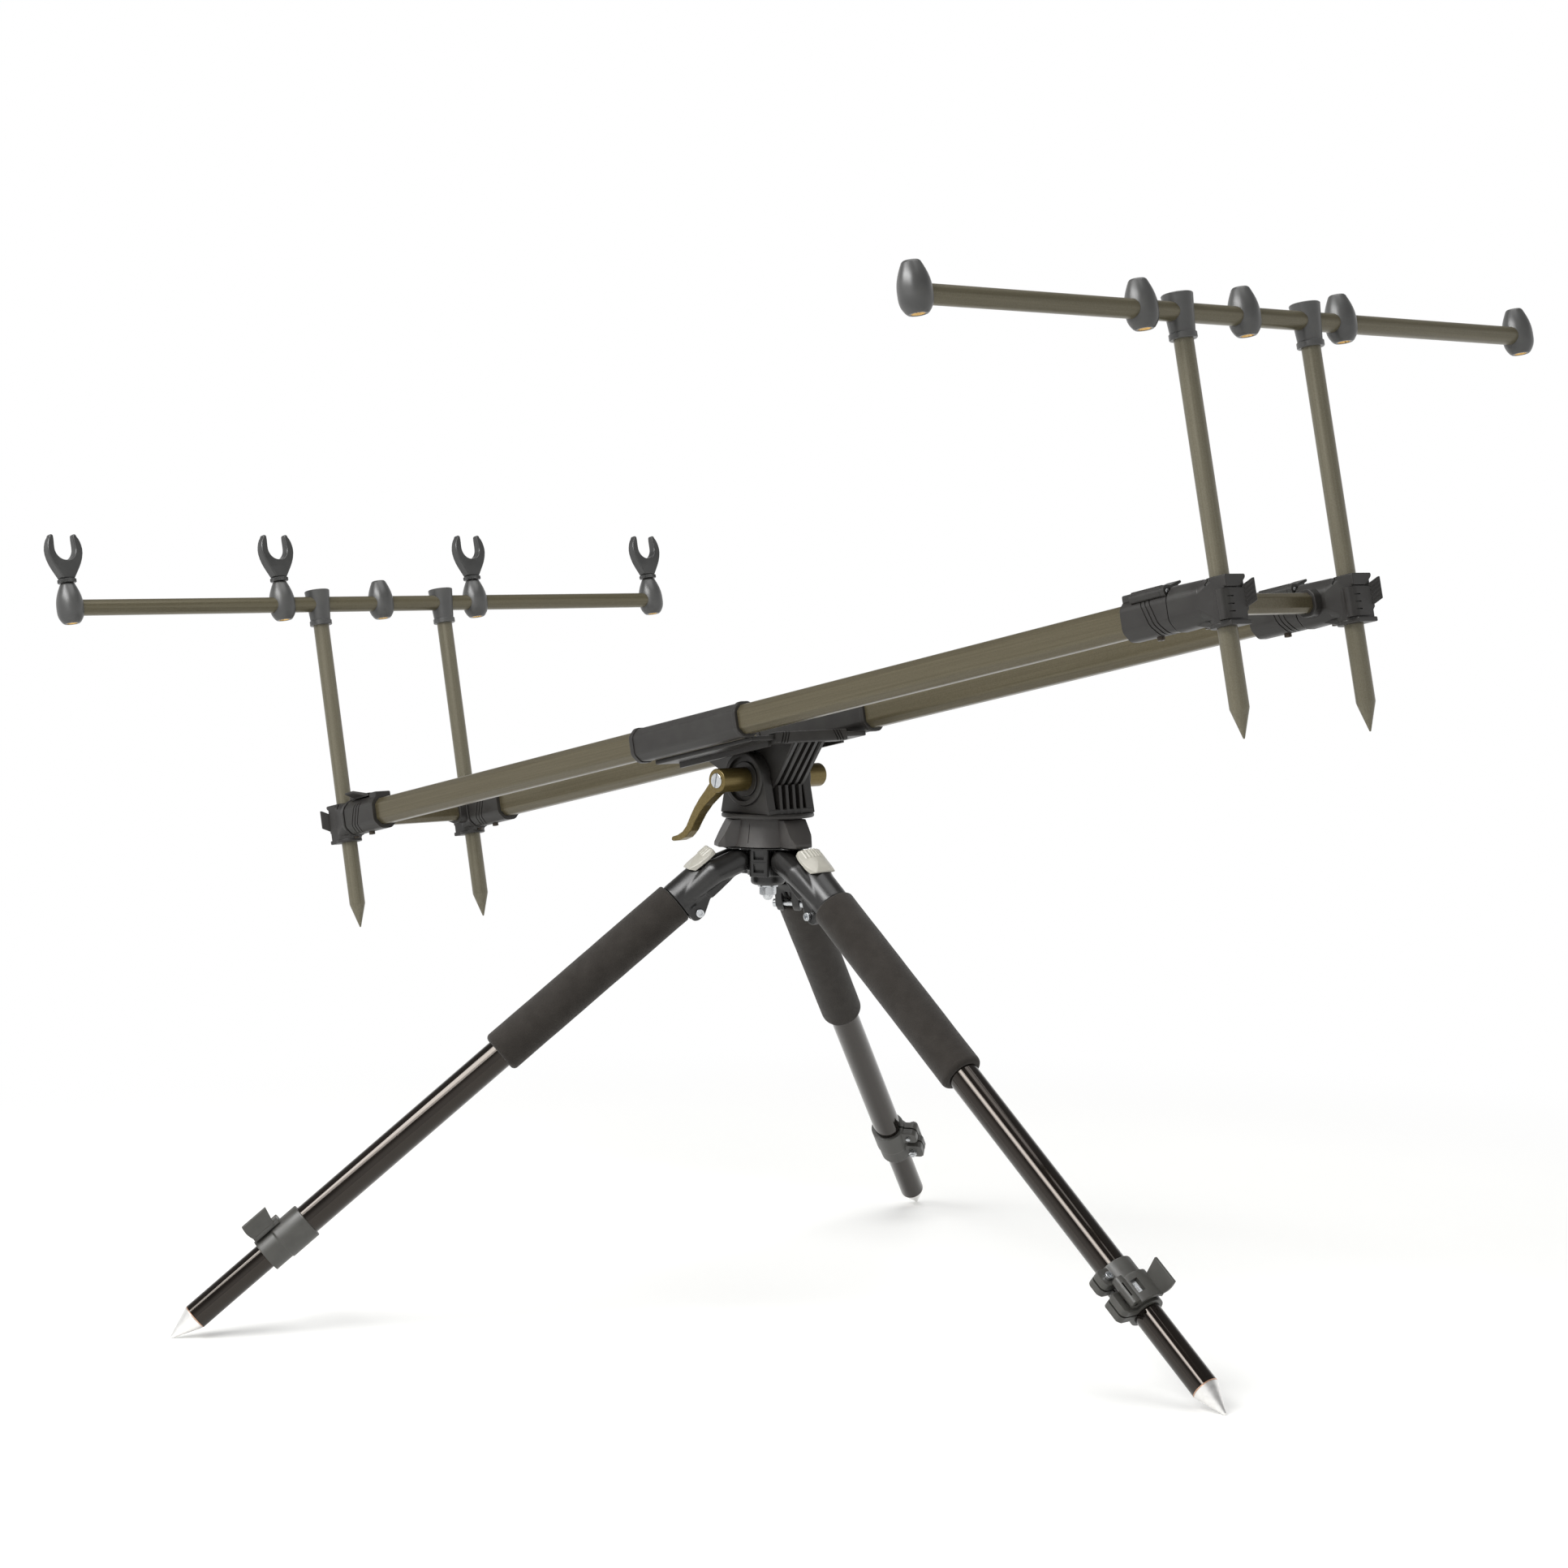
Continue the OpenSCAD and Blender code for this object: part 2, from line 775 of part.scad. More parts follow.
// Radius of a station at height z: a smooth swell that is widest at the bar
function station_radius(z) =
    z > 0
        ? 7.7 + (station_r - 7.7) * cos(90 * pow(z / station_top, 1.15))
        : 8 + (station_r - 8) * cos(90 * pow(-z / station_bottom, 1.6));

module station(y) {
    steps = 8;
    closed = abs(y) > rod_spacing;
    difference() {
        translate([0, y, 0])
            rotate_extrude()
                polygon([
                    [0, -station_bottom],
                    for (i = [-steps:steps])
                        let (z = i < 0 ? i * station_bottom / steps : i * station_top / steps)
                            [station_radius(z), z],
                    [0, station_top]
                ]);
        rod_y(stick_r + fit, closed ? -bar_half - fit : y - 30, closed ? bar_half + fit : y + 30);
        translate([0, y, 0]) rod_z(insert_r + fit, -60, 60);
    }
}

// Tapered joint of a stick and a bar, with a ring at its foot
module tee(y) {
    bottom = -22;
    ring_top = -16.5;
    translate([0, y, 0])
        difference() {
            rotate_extrude()
                polygon([[0, bottom], [11.4, bottom], [11.4, ring_top], [10.4, ring_top], [13, 14.5], [0, 14.5]]);
            rod_y(stick_r + fit, -30, 30);
            rod_z(stick_r + fit, bottom - 1, -stick_r);
        }
}

module bar_fittings(end) {
    color(graphite)
        on_bar(end) {
            for (y = station_y) station(y);
            for (y = side_y) tee(y);
        }
}

module inserts(end) {
    color(brass)
        on_bar(end)
            for (y = station_y)
                translate([0, y, 0])
                    difference() {
                        rod_z(insert_r, -station_bottom + 0.2, station_top - 0.2);
                        rod_z(thread_r, -50, 50);
                    }
}

module rod_rest(i) {
    ring_h = 4;
    stud_len = 16;
    stud_r = thread_r - 0.1;
    color(graphite)
        on_bar(1)
            translate([0, station_y[rest_stations[i]], station_top + gap]) {
                // Knurled lock ring
                difference() {
                    cylinder(r = 9.3, h = ring_h, $fn = 40);
                    translate([0, 0, -1]) cylinder(r = stud_r + fit, h = ring_h + 2);
                }
                translate([0, 0, ring_h + 0.1]) {
                    rod_z(stud_r, -stud_len, 2);
                    along_x(-fork_t / 2, fork_t / 2)
                        difference() {
                            union() {
                                translate([0, throat_rise]) circle(r = fork_r);
                                polygon([
                                    [-5.5, 0], [5.5, 0], [fork_r * 0.86, throat_rise - fork_r * 0.5],
                                    [-fork_r * 0.86, throat_rise - fork_r * 0.5]
                                ]);
                            }
                            translate([0, throat_rise]) circle(r = throat_r);
                            translate([-mouth_w / 2, throat_rise]) square([mouth_w, 40]);
                            translate([-40, throat_rise + 11.6]) square([80, 40]);
                        }
                }
            }
}

leg_hub();
hub_bolts();
head_base();
for (i = [0:2]) {
    leg_yoke(i);
    upper_tube(i);
    foam_grip(i);
    lock_collar(i);
    leg_screws(i);
    angle_tab(i);
    lock_lever(i);
    lower_tube(i);
    spike_foot(i);
}
swivel_yoke();
tilt_bolt();
clamp_lever();
saddle();
rails();
rail_collars();
for (e = [0, 1]) {
    for (s = [0, 1]) {
        rail_lever(e, s);
        stick_lever(e, s);
    }
    slide_tubes(e);
    end_blocks(e);
    sticks(e);
    buzz_bar(e);
    bar_fittings(e);
    inserts(e);
}
for (i = [0:len(rest_stations) - 1]) {
    rod_rest(i);
}
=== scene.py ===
"""Looks of a rod pod: a tripod with a swivel and tilt head under two telescopic rails.

Every sub-assembly is modelled in millimetres in its own frame and then placed in the row frame, whose
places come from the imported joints.
"""

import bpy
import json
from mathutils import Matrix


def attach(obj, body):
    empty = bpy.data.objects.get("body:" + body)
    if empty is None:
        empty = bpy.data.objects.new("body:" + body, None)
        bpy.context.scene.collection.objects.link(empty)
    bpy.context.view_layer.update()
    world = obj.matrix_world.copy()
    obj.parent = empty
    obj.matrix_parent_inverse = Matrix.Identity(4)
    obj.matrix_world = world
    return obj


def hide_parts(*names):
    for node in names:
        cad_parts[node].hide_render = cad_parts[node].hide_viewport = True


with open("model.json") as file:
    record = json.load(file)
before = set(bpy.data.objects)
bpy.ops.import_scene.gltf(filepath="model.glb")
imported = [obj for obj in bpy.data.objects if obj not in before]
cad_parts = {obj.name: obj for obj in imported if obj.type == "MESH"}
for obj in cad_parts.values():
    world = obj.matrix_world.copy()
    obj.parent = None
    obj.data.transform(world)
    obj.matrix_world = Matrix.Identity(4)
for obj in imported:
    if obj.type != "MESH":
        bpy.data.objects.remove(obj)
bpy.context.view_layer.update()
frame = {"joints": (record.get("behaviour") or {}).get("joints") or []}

import json
import logging
import math
from dataclasses import dataclass, field
from enum import Enum
from typing import Any, Callable, Iterable, Sequence

import bpy
from mathutils import Matrix, Vector

LOG = logging.getLogger("rod_pod")
MM = 0.001
# Running clearance in millimetres between a bore and what goes in it
CLEAR = 0.06
# Sides of a round that shows large
FINE = 96
# Height in millimetres of the rails' axes over the tilt axis
RAIL_RISE = 46.0

Pair = tuple[float, float]
Triple = tuple[float, float, float]


class Axis(Enum):
    """Axis that a rod, prism or turned shape runs along, with the turn that brings Z to it."""

    X = (0.0, math.pi / 2, 0.0)
    Y = (-math.pi / 2, 0.0, 0.0)
    Z = (0.0, 0.0, 0.0)

    def point(self, a: float, b: float, along: float) -> Vector:
        """Point at a and b in the plane square to the axis, and at a distance along it.

        Args:
            a: First coordinate in the plane, Y for an X axis and X otherwise.
            b: Second coordinate in the plane, Y for a Z axis and Z otherwise.
            along: Coordinate along the axis.

        Returns:
            The point.
        """
        places = {Axis.X: (along, a, b), Axis.Y: (a, along, b), Axis.Z: (a, b, along)}
        return Vector(places[self])


class Leg(Enum):
    """The three legs, by name."""

    LEFT = "left"
    RIGHT = "right"
    REAR = "rear"


class End(Enum):
    """The two ends of the rails: name, turn about the upright axis and place of the sticks along the rails."""

    FRONT = ("front", 0.0, 630.0)
    REAR = ("rear", math.pi, -553.0)

    @property
    def label(self) -> str:
        """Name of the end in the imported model."""
        return self.value[0]

    @property
    def turn(self) -> Matrix:
        """Turn that points X outwards at this end."""
        return Matrix.Rotation(self.value[1], 4, "Z")

    @property
    def reach(self) -> float:
        """Place of the sticks along the rails, in millimetres."""
        return self.value[2]


class Side(Enum):
    """The two rails, with the place of each across the frame in millimetres."""

    NEAR = ("near", -80.0)
    FAR = ("far", 80.0)

    @property
    def label(self) -> str:
        """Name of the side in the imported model."""
        return self.value[0]

    @property
    def across(self) -> float:
        """Place of the rail across the frame, in millimetres."""
        return self.value[1]


class Stock:
    """One piece of work on the bench: a mesh in millimetres that operators and modifiers shape."""

    # Points that are nearer to each other than this, in millimetres, become one
    MERGE = 1e-4

    def __init__(self, obj: bpy.types.Object) -> None:
        """Take a Blender object as the work."""
        self.obj = obj

    @staticmethod
    def clear_bench() -> None:
        """Leave edit mode and deselect everything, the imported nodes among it."""
        if bpy.context.mode != "OBJECT":
            bpy.ops.object.mode_set(mode="OBJECT")
        bpy.ops.object.select_all(action="DESELECT")

    def pick(self) -> "Stock":
        """Make this the only selected object, and the active one.

        Returns:
            The same work.
        """
        self.clear_bench()
        self.obj.select_set(True)
        bpy.context.view_layer.objects.active = self.obj
        return self

    def edit(self) -> "Stock":
        """Open all of the work in edit mode.

        Returns:
            The same work, in edit mode.
        """
        self.pick()
        bpy.ops.object.mode_set(mode="EDIT")
        bpy.ops.mesh.select_all(action="SELECT")
        return self

    def close(self) -> "Stock":
        """Go back to object mode."""
        bpy.ops.object.mode_set(mode="OBJECT")
        return self

    def scrap(self) -> None:
        """Take the work off the bench for good."""
        bpy.data.objects.remove(self.obj)

    def settle(self) -> "Stock":
        """Move the object's place, turn and scale into its mesh.

        Returns:
            The same work.
        """
        self.pick()
        bpy.ops.object.transform_apply(location=True, rotation=True, scale=True)
        return self

    @classmethod
    def block(cls, low: Sequence[float], high: Sequence[float]) -> "Stock":
        """Rectangular block between two corners.

        Args:
            low: Lowest corner.
            high: Highest corner.

        Returns:
            The block.
        """
        cls.clear_bench()
        low, high = Vector(low), Vector(high)
        bpy.ops.mesh.primitive_cube_add(size=1, location=(low + high) / 2, scale=high - low)
        return cls(bpy.context.object).settle()

    @classmethod
    def rod(cls, radius: float, start: float, stop: float, axis: Axis = Axis.Z, at: Pair = (0.0, 0.0),
            sides: int = 48, end: float | None = None) -> "Stock":
        """Round bar or cone along an axis.

        Args:
            radius: Radius at the start.
            start: Place of the first end along the axis.
            stop: Place of the second end along the axis.
            axis: Axis that the rod runs along.
            at: Place of its centre line in the plane square to the axis.
            sides: Number of sides.
            end: Radius at the second end, where it differs.

        Returns:
            The rod.
        """
        cls.clear_bench()
        bpy.ops.mesh.primitive_cone_add(
            vertices=sides, radius1=radius, radius2=radius if end is None else end, depth=stop - start,
            location=axis.point(*at, (start + stop) / 2), rotation=axis.value,
        )
        return cls(bpy.context.object).settle()

    @classmethod
    def ball(cls, radius: float, at: Sequence[float]) -> "Stock":
        """Ball of a radius at a point.

        Args:
            radius: Radius of the ball.
            at: Its centre.

        Returns:
            The ball.
        """
        cls.clear_bench()
        bpy.ops.mesh.primitive_uv_sphere_add(segments=32, ring_count=16, radius=radius, location=at)
        return cls(bpy.context.object).settle()

    @classmethod
    def prism(cls, outline: Sequence[Pair], start: float, stop: float, axis: Axis = Axis.Z,
              corner: float = 0.0, steps: int = 4) -> "Stock":
        """Flat outline drawn out along an axis.

        Args:
            outline: Points of the outline in the plane square to the axis.
            start: Place of the first face along the axis.
            stop: Place of the second face along the axis.
            axis: Axis of the prism.
            corner: Length that a rounded corner takes off each side.
            steps: Faces in a rounded corner.

        Returns:
            The prism.
        """
        cls.clear_bench()
        bpy.ops.mesh.primitive_circle_add(vertices=len(outline), radius=1, fill_type="NGON")
        made = cls(bpy.context.object)
        for vertex, (a, b) in zip(made.obj.data.vertices, outline):
            vertex.co = axis.point(a, b, start)
        made.edit()
        if corner:
            bpy.ops.mesh.bevel(offset=corner, segments=steps, affect="VERTICES", clamp_overlap=True)
            bpy.ops.mesh.select_all(action="SELECT")
        bpy.ops.mesh.extrude_region_move(TRANSFORM_OT_translate={"value": axis.point(0, 0, stop - start)})
        return made.mend()

    @classmethod
    def turned(cls, profile: Sequence[Pair], axis: Axis = Axis.Z, closed: bool = False,
               steps: int = 64) -> "Stock":
        """Profile spun about an axis, as on a lathe.

        Args:
            profile: Radius and place along the axis of each point.
            axis: Axis that it turns about.
            closed: Whether the last point joins the first, as in a tube or ring.
            steps: Number of sides.

        Returns:
            The turned shape.
        """
        cls.clear_bench()
        mesh = bpy.data.meshes.new("profile")
        edges = [(i, i + 1) for i in range(len(profile) - 1)]
        if closed:
            edges.append((len(profile) - 1, 0))
        mesh.from_pydata([(r, 0, z) for r, z in profile], edges, [])
        made = cls(bpy.data.objects.new("turned", mesh))
        bpy.context.scene.collection.objects.link(made.obj)
        made.edit()
        bpy.ops.mesh.spin(steps=steps, angle=math.tau, center=(0, 0, 0), axis=(0, 0, 1))
        made.mend()
        made.obj.rotation_euler = axis.value
        return made.settle()

    def mend(self) -> "Stock":
        """Merge doubled points and turn all faces outwards.

        Returns:
            The same work.
        """
        self.edit()
        bpy.ops.mesh.remove_doubles(threshold=self.MERGE)
        bpy.ops.mesh.normals_make_consistent(inside=False)
        return self.close()

    def copy(self) -> "Stock":
        """Copy of the work with a mesh of its own.

        Returns:
            The copy.
        """
        twin = self.obj.copy()
        twin.data = self.obj.data.copy()
        bpy.context.scene.collection.objects.link(twin)
        return Stock(twin)

    def shift(self, x: float = 0.0, y: float = 0.0, z: float = 0.0) -> "Stock":
        """Move the work."""
        self.obj.location = (x, y, z)
        return self.settle()

    def swing(self, degrees: float, axis: Axis, centre: Sequence[float] = (0, 0, 0)) -> "Stock":
        """Turn the work about an axis through a point.

        Args:
            degrees: Angle of the turn.
            axis: Direction of the axis.
            centre: Point on the axis.

        Returns:
            The same work.
        """
        there = Matrix.Translation(centre)
        return self.move(there @ Matrix.Rotation(math.radians(degrees), 4, axis.name) @ there.inverted())

    def flip_y(self) -> "Stock":
        """Mirror the work across the plane Y = 0."""
        self.obj.scale = (1, -1, 1)
        return self.settle().mend()

    def modify(self, kind: str, **settings: Any) -> "Stock":
        """Add a modifier with its settings and apply it.

        Args:
            kind: Blender's name for the kind of modifier.
            **settings: Values of its properties.

        Returns:
            The same work.
        """
        self.pick()
        modifier = self.obj.modifiers.new(kind.lower(), kind)
        for name, value in settings.items():
            setattr(modifier, name, value)
        bpy.ops.object.modifier_apply(modifier=modifier.name)
        return self

    def combine(self, operation: str, others: Iterable["Stock"]) -> "Stock":
        """Boolean with other work, which is used up.

        Args:
            operation: Blender's name for the operation.
            others: The other work.

        Returns:
            The same work.
        """
        for other in others:
            self.modify("BOOLEAN", operation=operation, solver="EXACT", object=other.obj)
            other.scrap()
        return self

    def cut(self, *tools: "Stock") -> "Stock":
        """Cut away what the tools cover."""
        return self.combine("DIFFERENCE", tools)

    def weld(self, *others: "Stock") -> "Stock":
        """Make one solid of this and other work."""
        return self.combine("UNION", others)

    def trim(self, *tools: "Stock") -> "Stock":
        """Keep only what each tool covers."""
        return self.combine("INTERSECT", tools)

    def join(self, *others: "Stock") -> "Stock":
        """Put other work into this mesh, without cutting it.

        Args:
            *others: The other work, which is used up.

        Returns:
            The same work.
        """
        self.pick()
        for other in others:
            other.obj.select_set(True)
        bpy.ops.object.join()
        return self

    def hull(self, *others: "Stock") -> "Stock":
        """Stretch a skin round this and other work.

        Args:
            *others: The other work, which is used up.

        Returns:
            The same work.
        """
        self.join(*others).edit()
        bpy.ops.mesh.convex_hull()
        return self.close()

    def mould(self, grain: float, passes: int) -> "Stock":
        """Fuse joined work into one skin with filleted corners, as a moulding has.

        Args:
            grain: Size of the skin's cells.
            passes: Smoothing passes, which set the fillets' size.

        Returns:
            The same work.
        """
        self.modify("REMESH", mode="VOXEL", voxel_size=grain)
        return self.modify("SMOOTH", factor=0.5, iterations=passes)

    def ease(self, width: float, segments: int = 2, angle: float = 30.0) -> "Stock":
        """Round every edge that is sharper than an angle.

        Args:
            width: Width of the rounding.
            segments: Faces across it.
            angle: Least angle between two faces, in degrees.

        Returns:
            The same work.
        """
        return self.modify("BEVEL", width=width, segments=segments, limit_method="ANGLE",
                           angle_limit=math.radians(angle))

    def faces(self, test: Callable[[Vector, Vector], bool]) -> "Stock":
        """Select faces for the next edit.

        Args:
            test: Whether a face with this centre and normal is taken.

        Returns:
            The same work, in edit mode.
        """
        self.pick()
        mesh = self.obj.data
        for element in (*mesh.vertices, *mesh.edges):
            element.select = False
        for polygon in mesh.polygons:
            polygon.select = test(polygon.center, polygon.normal)
        bpy.context.tool_settings.mesh_select_mode = (False, False, True)
        bpy.ops.object.mode_set(mode="EDIT")
        return self

    def bored(self, wall: float, axis: Axis) -> "Stock":
        """Make a tube of a prism by setting in both end faces and bridging them.

        Args:
            wall: Thickness of the wall.
            axis: Axis of the prism.

        Returns:
            The same work.
        """
        along = axis.point(0, 0, 1)
        self.faces(lambda centre, normal: abs(normal.dot(along)) > 0.99)
        bpy.ops.mesh.inset(thickness=wall, use_even_offset=True)
        bpy.ops.mesh.bridge_edge_loops()
        return self.close()

    def move(self, matrix: Matrix) -> "Stock":
        """Move the work by a matrix, into its mesh."""
        self.obj.matrix_world = matrix
        return self.settle()


def arc(radius: float, start: float, stop: float, steps: int, centre: Pair = (0.0, 0.0)) -> list[Pair]:
    """Points on an arc.

    Args:
        radius: Radius of the arc.
        start: First angle in degrees.
        stop: Last angle in degrees.
        steps: Number of spans.
        centre: Centre of the arc.

    Returns:
        The points, both ends among them.
    """
    angles = [math.radians(start + (stop - start) * i / steps) for i in range(steps + 1)]
    return [(centre[0] + radius * math.cos(a), centre[1] + radius * math.sin(a)) for a in angles]


def hexagon(radius: float) -> list[Pair]:
    """Six corners of a nut or of the socket in a screw's head."""
    return arc(radius, 0, 300, 5)


def octagon(width: float, height: float, bevel: float) -> list[Pair]:
    """Rectangle with its four corners cut off.

    Args:
        width: Size across.
        height: Size upwards.
        bevel: Length that a corner's cut takes off each side.

    Returns:
        The eight points.
    """
    w, h = width / 2, height / 2
    return [
        (-w + bevel, -h), (w - bevel, -h), (w, -h + bevel), (w, h - bevel),
        (w - bevel, h), (-w + bevel, h), (-w, h - bevel), (-w, -h + bevel),
    ]


def rail_outline(grow: float) -> list[Pair]:
    """Section of a rail, grown outwards by a distance."""
    return octagon(22 + 2 * grow, 27 + 2 * grow, 6 + (2 - math.sqrt(2)) * grow)


def bar_profile(radius: float, start: float, stop: float, ease: float) -> list[Pair]:
    """Profile of a solid turned bar with rounded ends.

    Args:
        radius: Radius of the bar.
        start: Place of the first end.
        stop: Place of the second end.
        ease: Radius of the rounding.

    Returns:
        The profile, from the axis to the axis.
    """
    inner = radius - ease
    return [
        (0.0, start), *arc(ease, 270, 360, 4, (inner, start + ease)),
        *arc(ease, 0, 90, 4, (inner, stop - ease)), (0.0, stop),
    ]


def tube_profile(radius: float, bore: float, start: float, stop: float, ease: float) -> list[Pair]:
    """Closed profile of a tube with rounded outer ends.

    Args:
        radius: Outer radius.
        bore: Radius of the bore.
        start: Place of the first end.
        stop: Place of the second end.
        ease: Radius of the rounding.

    Returns:
        The profile, for a closed turn.
    """
    return [(bore, start), *bar_profile(radius, start, stop, ease)[1:-1], (bore, stop)]


def srgb(code: str) -> tuple[float, float, float, float]:
    """Linear colour of an sRGB hex code.

    Args:
        code: Six hex digits after a number sign.

    Returns:
        Red, green, blue and an alpha of 1.
    """
    parts = [int(code[i:i + 2], 16) / 255 for i in (1, 3, 5)]
    linear = [c / 12.92 if c <= 0.04045 else ((c + 0.055) / 1.055) ** 2.4 for c in parts]
    return (*linear, 1.0)


def add_node(tree: bpy.types.NodeTree, kind: str, sockets: dict[Any, Any] | None = None,
             stops: Iterable[tuple[float, str]] = (), **settings: Any) -> bpy.types.Node:
    """Add a node to a tree with its settings, values and links.

    Args:
        tree: Tree that gets the node.
        kind: Blender's name for the kind of node.
        sockets: Value or linked output of each input, by its name or number.
        stops: Place and sRGB hex colour of each stop, for a node that has a colour ramp.
        **settings: Values of the node's own properties.

    Returns:
        The node.
    """
    made = tree.nodes.new(kind)
    for name, value in settings.items():
        setattr(made, name, value)
    for name, value in (sockets or {}).items():
        if isinstance(value, bpy.types.NodeSocket):
            tree.links.new(value, made.inputs[name])
        else:
            made.inputs[name].default_value = value
    for index, (place, code) in enumerate(stops):
        band = made.color_ramp.elements
        element = band[index] if index < len(band) else band.new(1.0)
        element.position, element.color = place, srgb(code)
    return made


# The part of a noise that most of its values lie in
NOISE_MIDDLE = {"From Min": 0.3, "From Max": 0.7}


class Grain(Enum):
    """Size in metres of a drawn tube's faint lines along each axis of the rails' frame."""

    ALONG_RAIL = (0.16, 0.0016, 0.0016)
    ALONG_STICK = (0.0016, 0.0016, 0.16)
    ALONG_BAR = (0.0016, 0.16, 0.0016)


@dataclass(frozen=True)
class Finish:
    """What every finish has: a name, the record's slot and the shader's even values."""

    name: str
    slot: str
    even: tuple[tuple[str, Any], ...]

    def material(self) -> bpy.types.Material:
        """Material of this finish, made once.

        Returns:
            The material.
        """
        made = bpy.data.materials.get(self.name)
        if made is None:
            made = bpy.data.materials.new(self.name)
            made.use_nodes = True
            tree = made.node_tree
            shader = tree.nodes["Principled BSDF"]
            for socket, value in self.even:
                shader.inputs[socket].default_value = value
            for socket, output in self.surface(tree).items():
                tree.links.new(output, shader.inputs[socket])
        return made

    def surface(self, tree: bpy.types.NodeTree) -> dict[str, bpy.types.NodeSocket]:
        """Add the patterns of the surface to a material.

        Args:
            tree: Tree of the material.

        Returns:
            The output that drives each input of the principled shader.
        """
        raise NotImplementedError

    @staticmethod
    def pattern(tree: bpy.types.NodeTree, size: Sequence[float], turn: float = 0.0, detail: float = 2.0,
                rough: float = 0.5) -> bpy.types.NodeSocket:
        """Noise on Object coordinates with a real size along each axis.

        Args:
            tree: Tree that gets the noise.
            size: Size of the pattern in metres along each axis.
            turn: Turn of the pattern about Y, in radians.
            detail: Octaves of the noise.
            rough: Weight of the finer octaves.

        Returns:
            The noise, from 0 to 1.
        """
        place = add_node(tree, "ShaderNodeTexCoord")
        fitted = add_node(tree, "ShaderNodeMapping", {
            "Vector": place.outputs["Object"], "Rotation": (0.0, turn, 0.0), "Scale": tuple(size),
        }, vector_type="TEXTURE")
        noise = add_node(tree, "ShaderNodeTexNoise", {
            "Vector": fitted.outputs["Vector"], "Scale": 1.0, "Detail": detail, "Roughness": rough,
        })
        return noise.outputs["Fac"]


@dataclass(frozen=True)
class DrawnTube(Finish):
    """Drawn aluminium tube with a satin coating: an even sheen with a fine speckle and faint lines."""

    grain: Grain = Grain.ALONG_RAIL
    shades: tuple[str, str, str] = ("#524b37", "#59523e", "#605945")
    pitch: float = math.radians(-11.7)

    def surface(self, tree: bpy.types.NodeTree) -> dict[str, bpy.types.NodeSocket]:
        """Speckle of the coating, faint lines from the drawing die and a lacquer of uneven gloss.

        Args:
            tree: Tree that gets the nodes.

        Returns:
            The output that drives each input of the principled shader.
        """
        lines = self.pattern(tree, self.grain.value, self.pitch, detail=2.0)
        # The real speckle is about 0.2 mm, too fine to show, so it is drawn at 0.9 mm
        speck = self.pattern(tree, (0.0009,) * 3, detail=1.0)
        both = add_node(tree, "ShaderNodeMath", {0: speck, 1: lines}, operation="ADD")
        half = add_node(tree, "ShaderNodeMath", {0: both.outputs["Value"], 1: 0.5}, operation="MULTIPLY")
        tone = add_node(tree, "ShaderNodeValToRGB", {"Fac": half.outputs["Value"]},
                        zip((0.36, 0.5, 0.64), self.shades))
        drift = self.pattern(tree, (0.05,) * 3, self.pitch)
        gloss = add_node(tree, "ShaderNodeMapRange", {
            "Value": drift, **NOISE_MIDDLE, "To Min": 0.29, "To Max": 0.35,
        })
        # The real lines are about 0.1 mm apart, too fine to show, so they are drawn 1.6 mm apart
        drawn = add_node(tree, "ShaderNodeBump", {"Height": lines, "Distance": 0.000008, "Strength": 1.0})
        coat = add_node(tree, "ShaderNodeBump", {
            "Height": speck, "Distance": 0.00001, "Strength": 1.0, "Normal": drawn.outputs["Normal"],
        })
        return {"Base Color": tone.outputs["Color"], "Roughness": gloss.outputs["Result"],
                "Normal": coat.outputs["Normal"]}


@dataclass(frozen=True)
class GlossTube(Finish):
    """Aluminium tube with a gloss black coating: near black, with crisp reflections and a faint orange peel."""

    shades: tuple[str, str] = ("#0d0a08", "#130f0c")

    def surface(self, tree: bpy.types.NodeTree) -> dict[str, bpy.types.NodeSocket]:
        """Orange peel of the coating, about 3 mm across, and a little haze from handling.

        Args:
            tree: Tree that gets the nodes.

        Returns:
            The output that drives each input of the principled shader.
        """
        haze = self.pattern(tree, (0.02,) * 3, detail=4.0)
        tone = add_node(tree, "ShaderNodeValToRGB", {"Fac": haze}, zip((0.3, 0.7), self.shades))
        gloss = add_node(tree, "ShaderNodeMapRange", {
            "Value": haze, **NOISE_MIDDLE, "To Min": 0.07, "To Max": 0.11,
        })
        peel = self.pattern(tree, (0.003,) * 3, detail=1.0)
        coat = add_node(tree, "ShaderNodeBump", {"Height": peel, "Distance": 0.000006, "Strength": 1.0})
        return {"Base Color": tone.outputs["Color"], "Roughness": gloss.outputs["Result"],
                "Normal": coat.outputs["Normal"]}


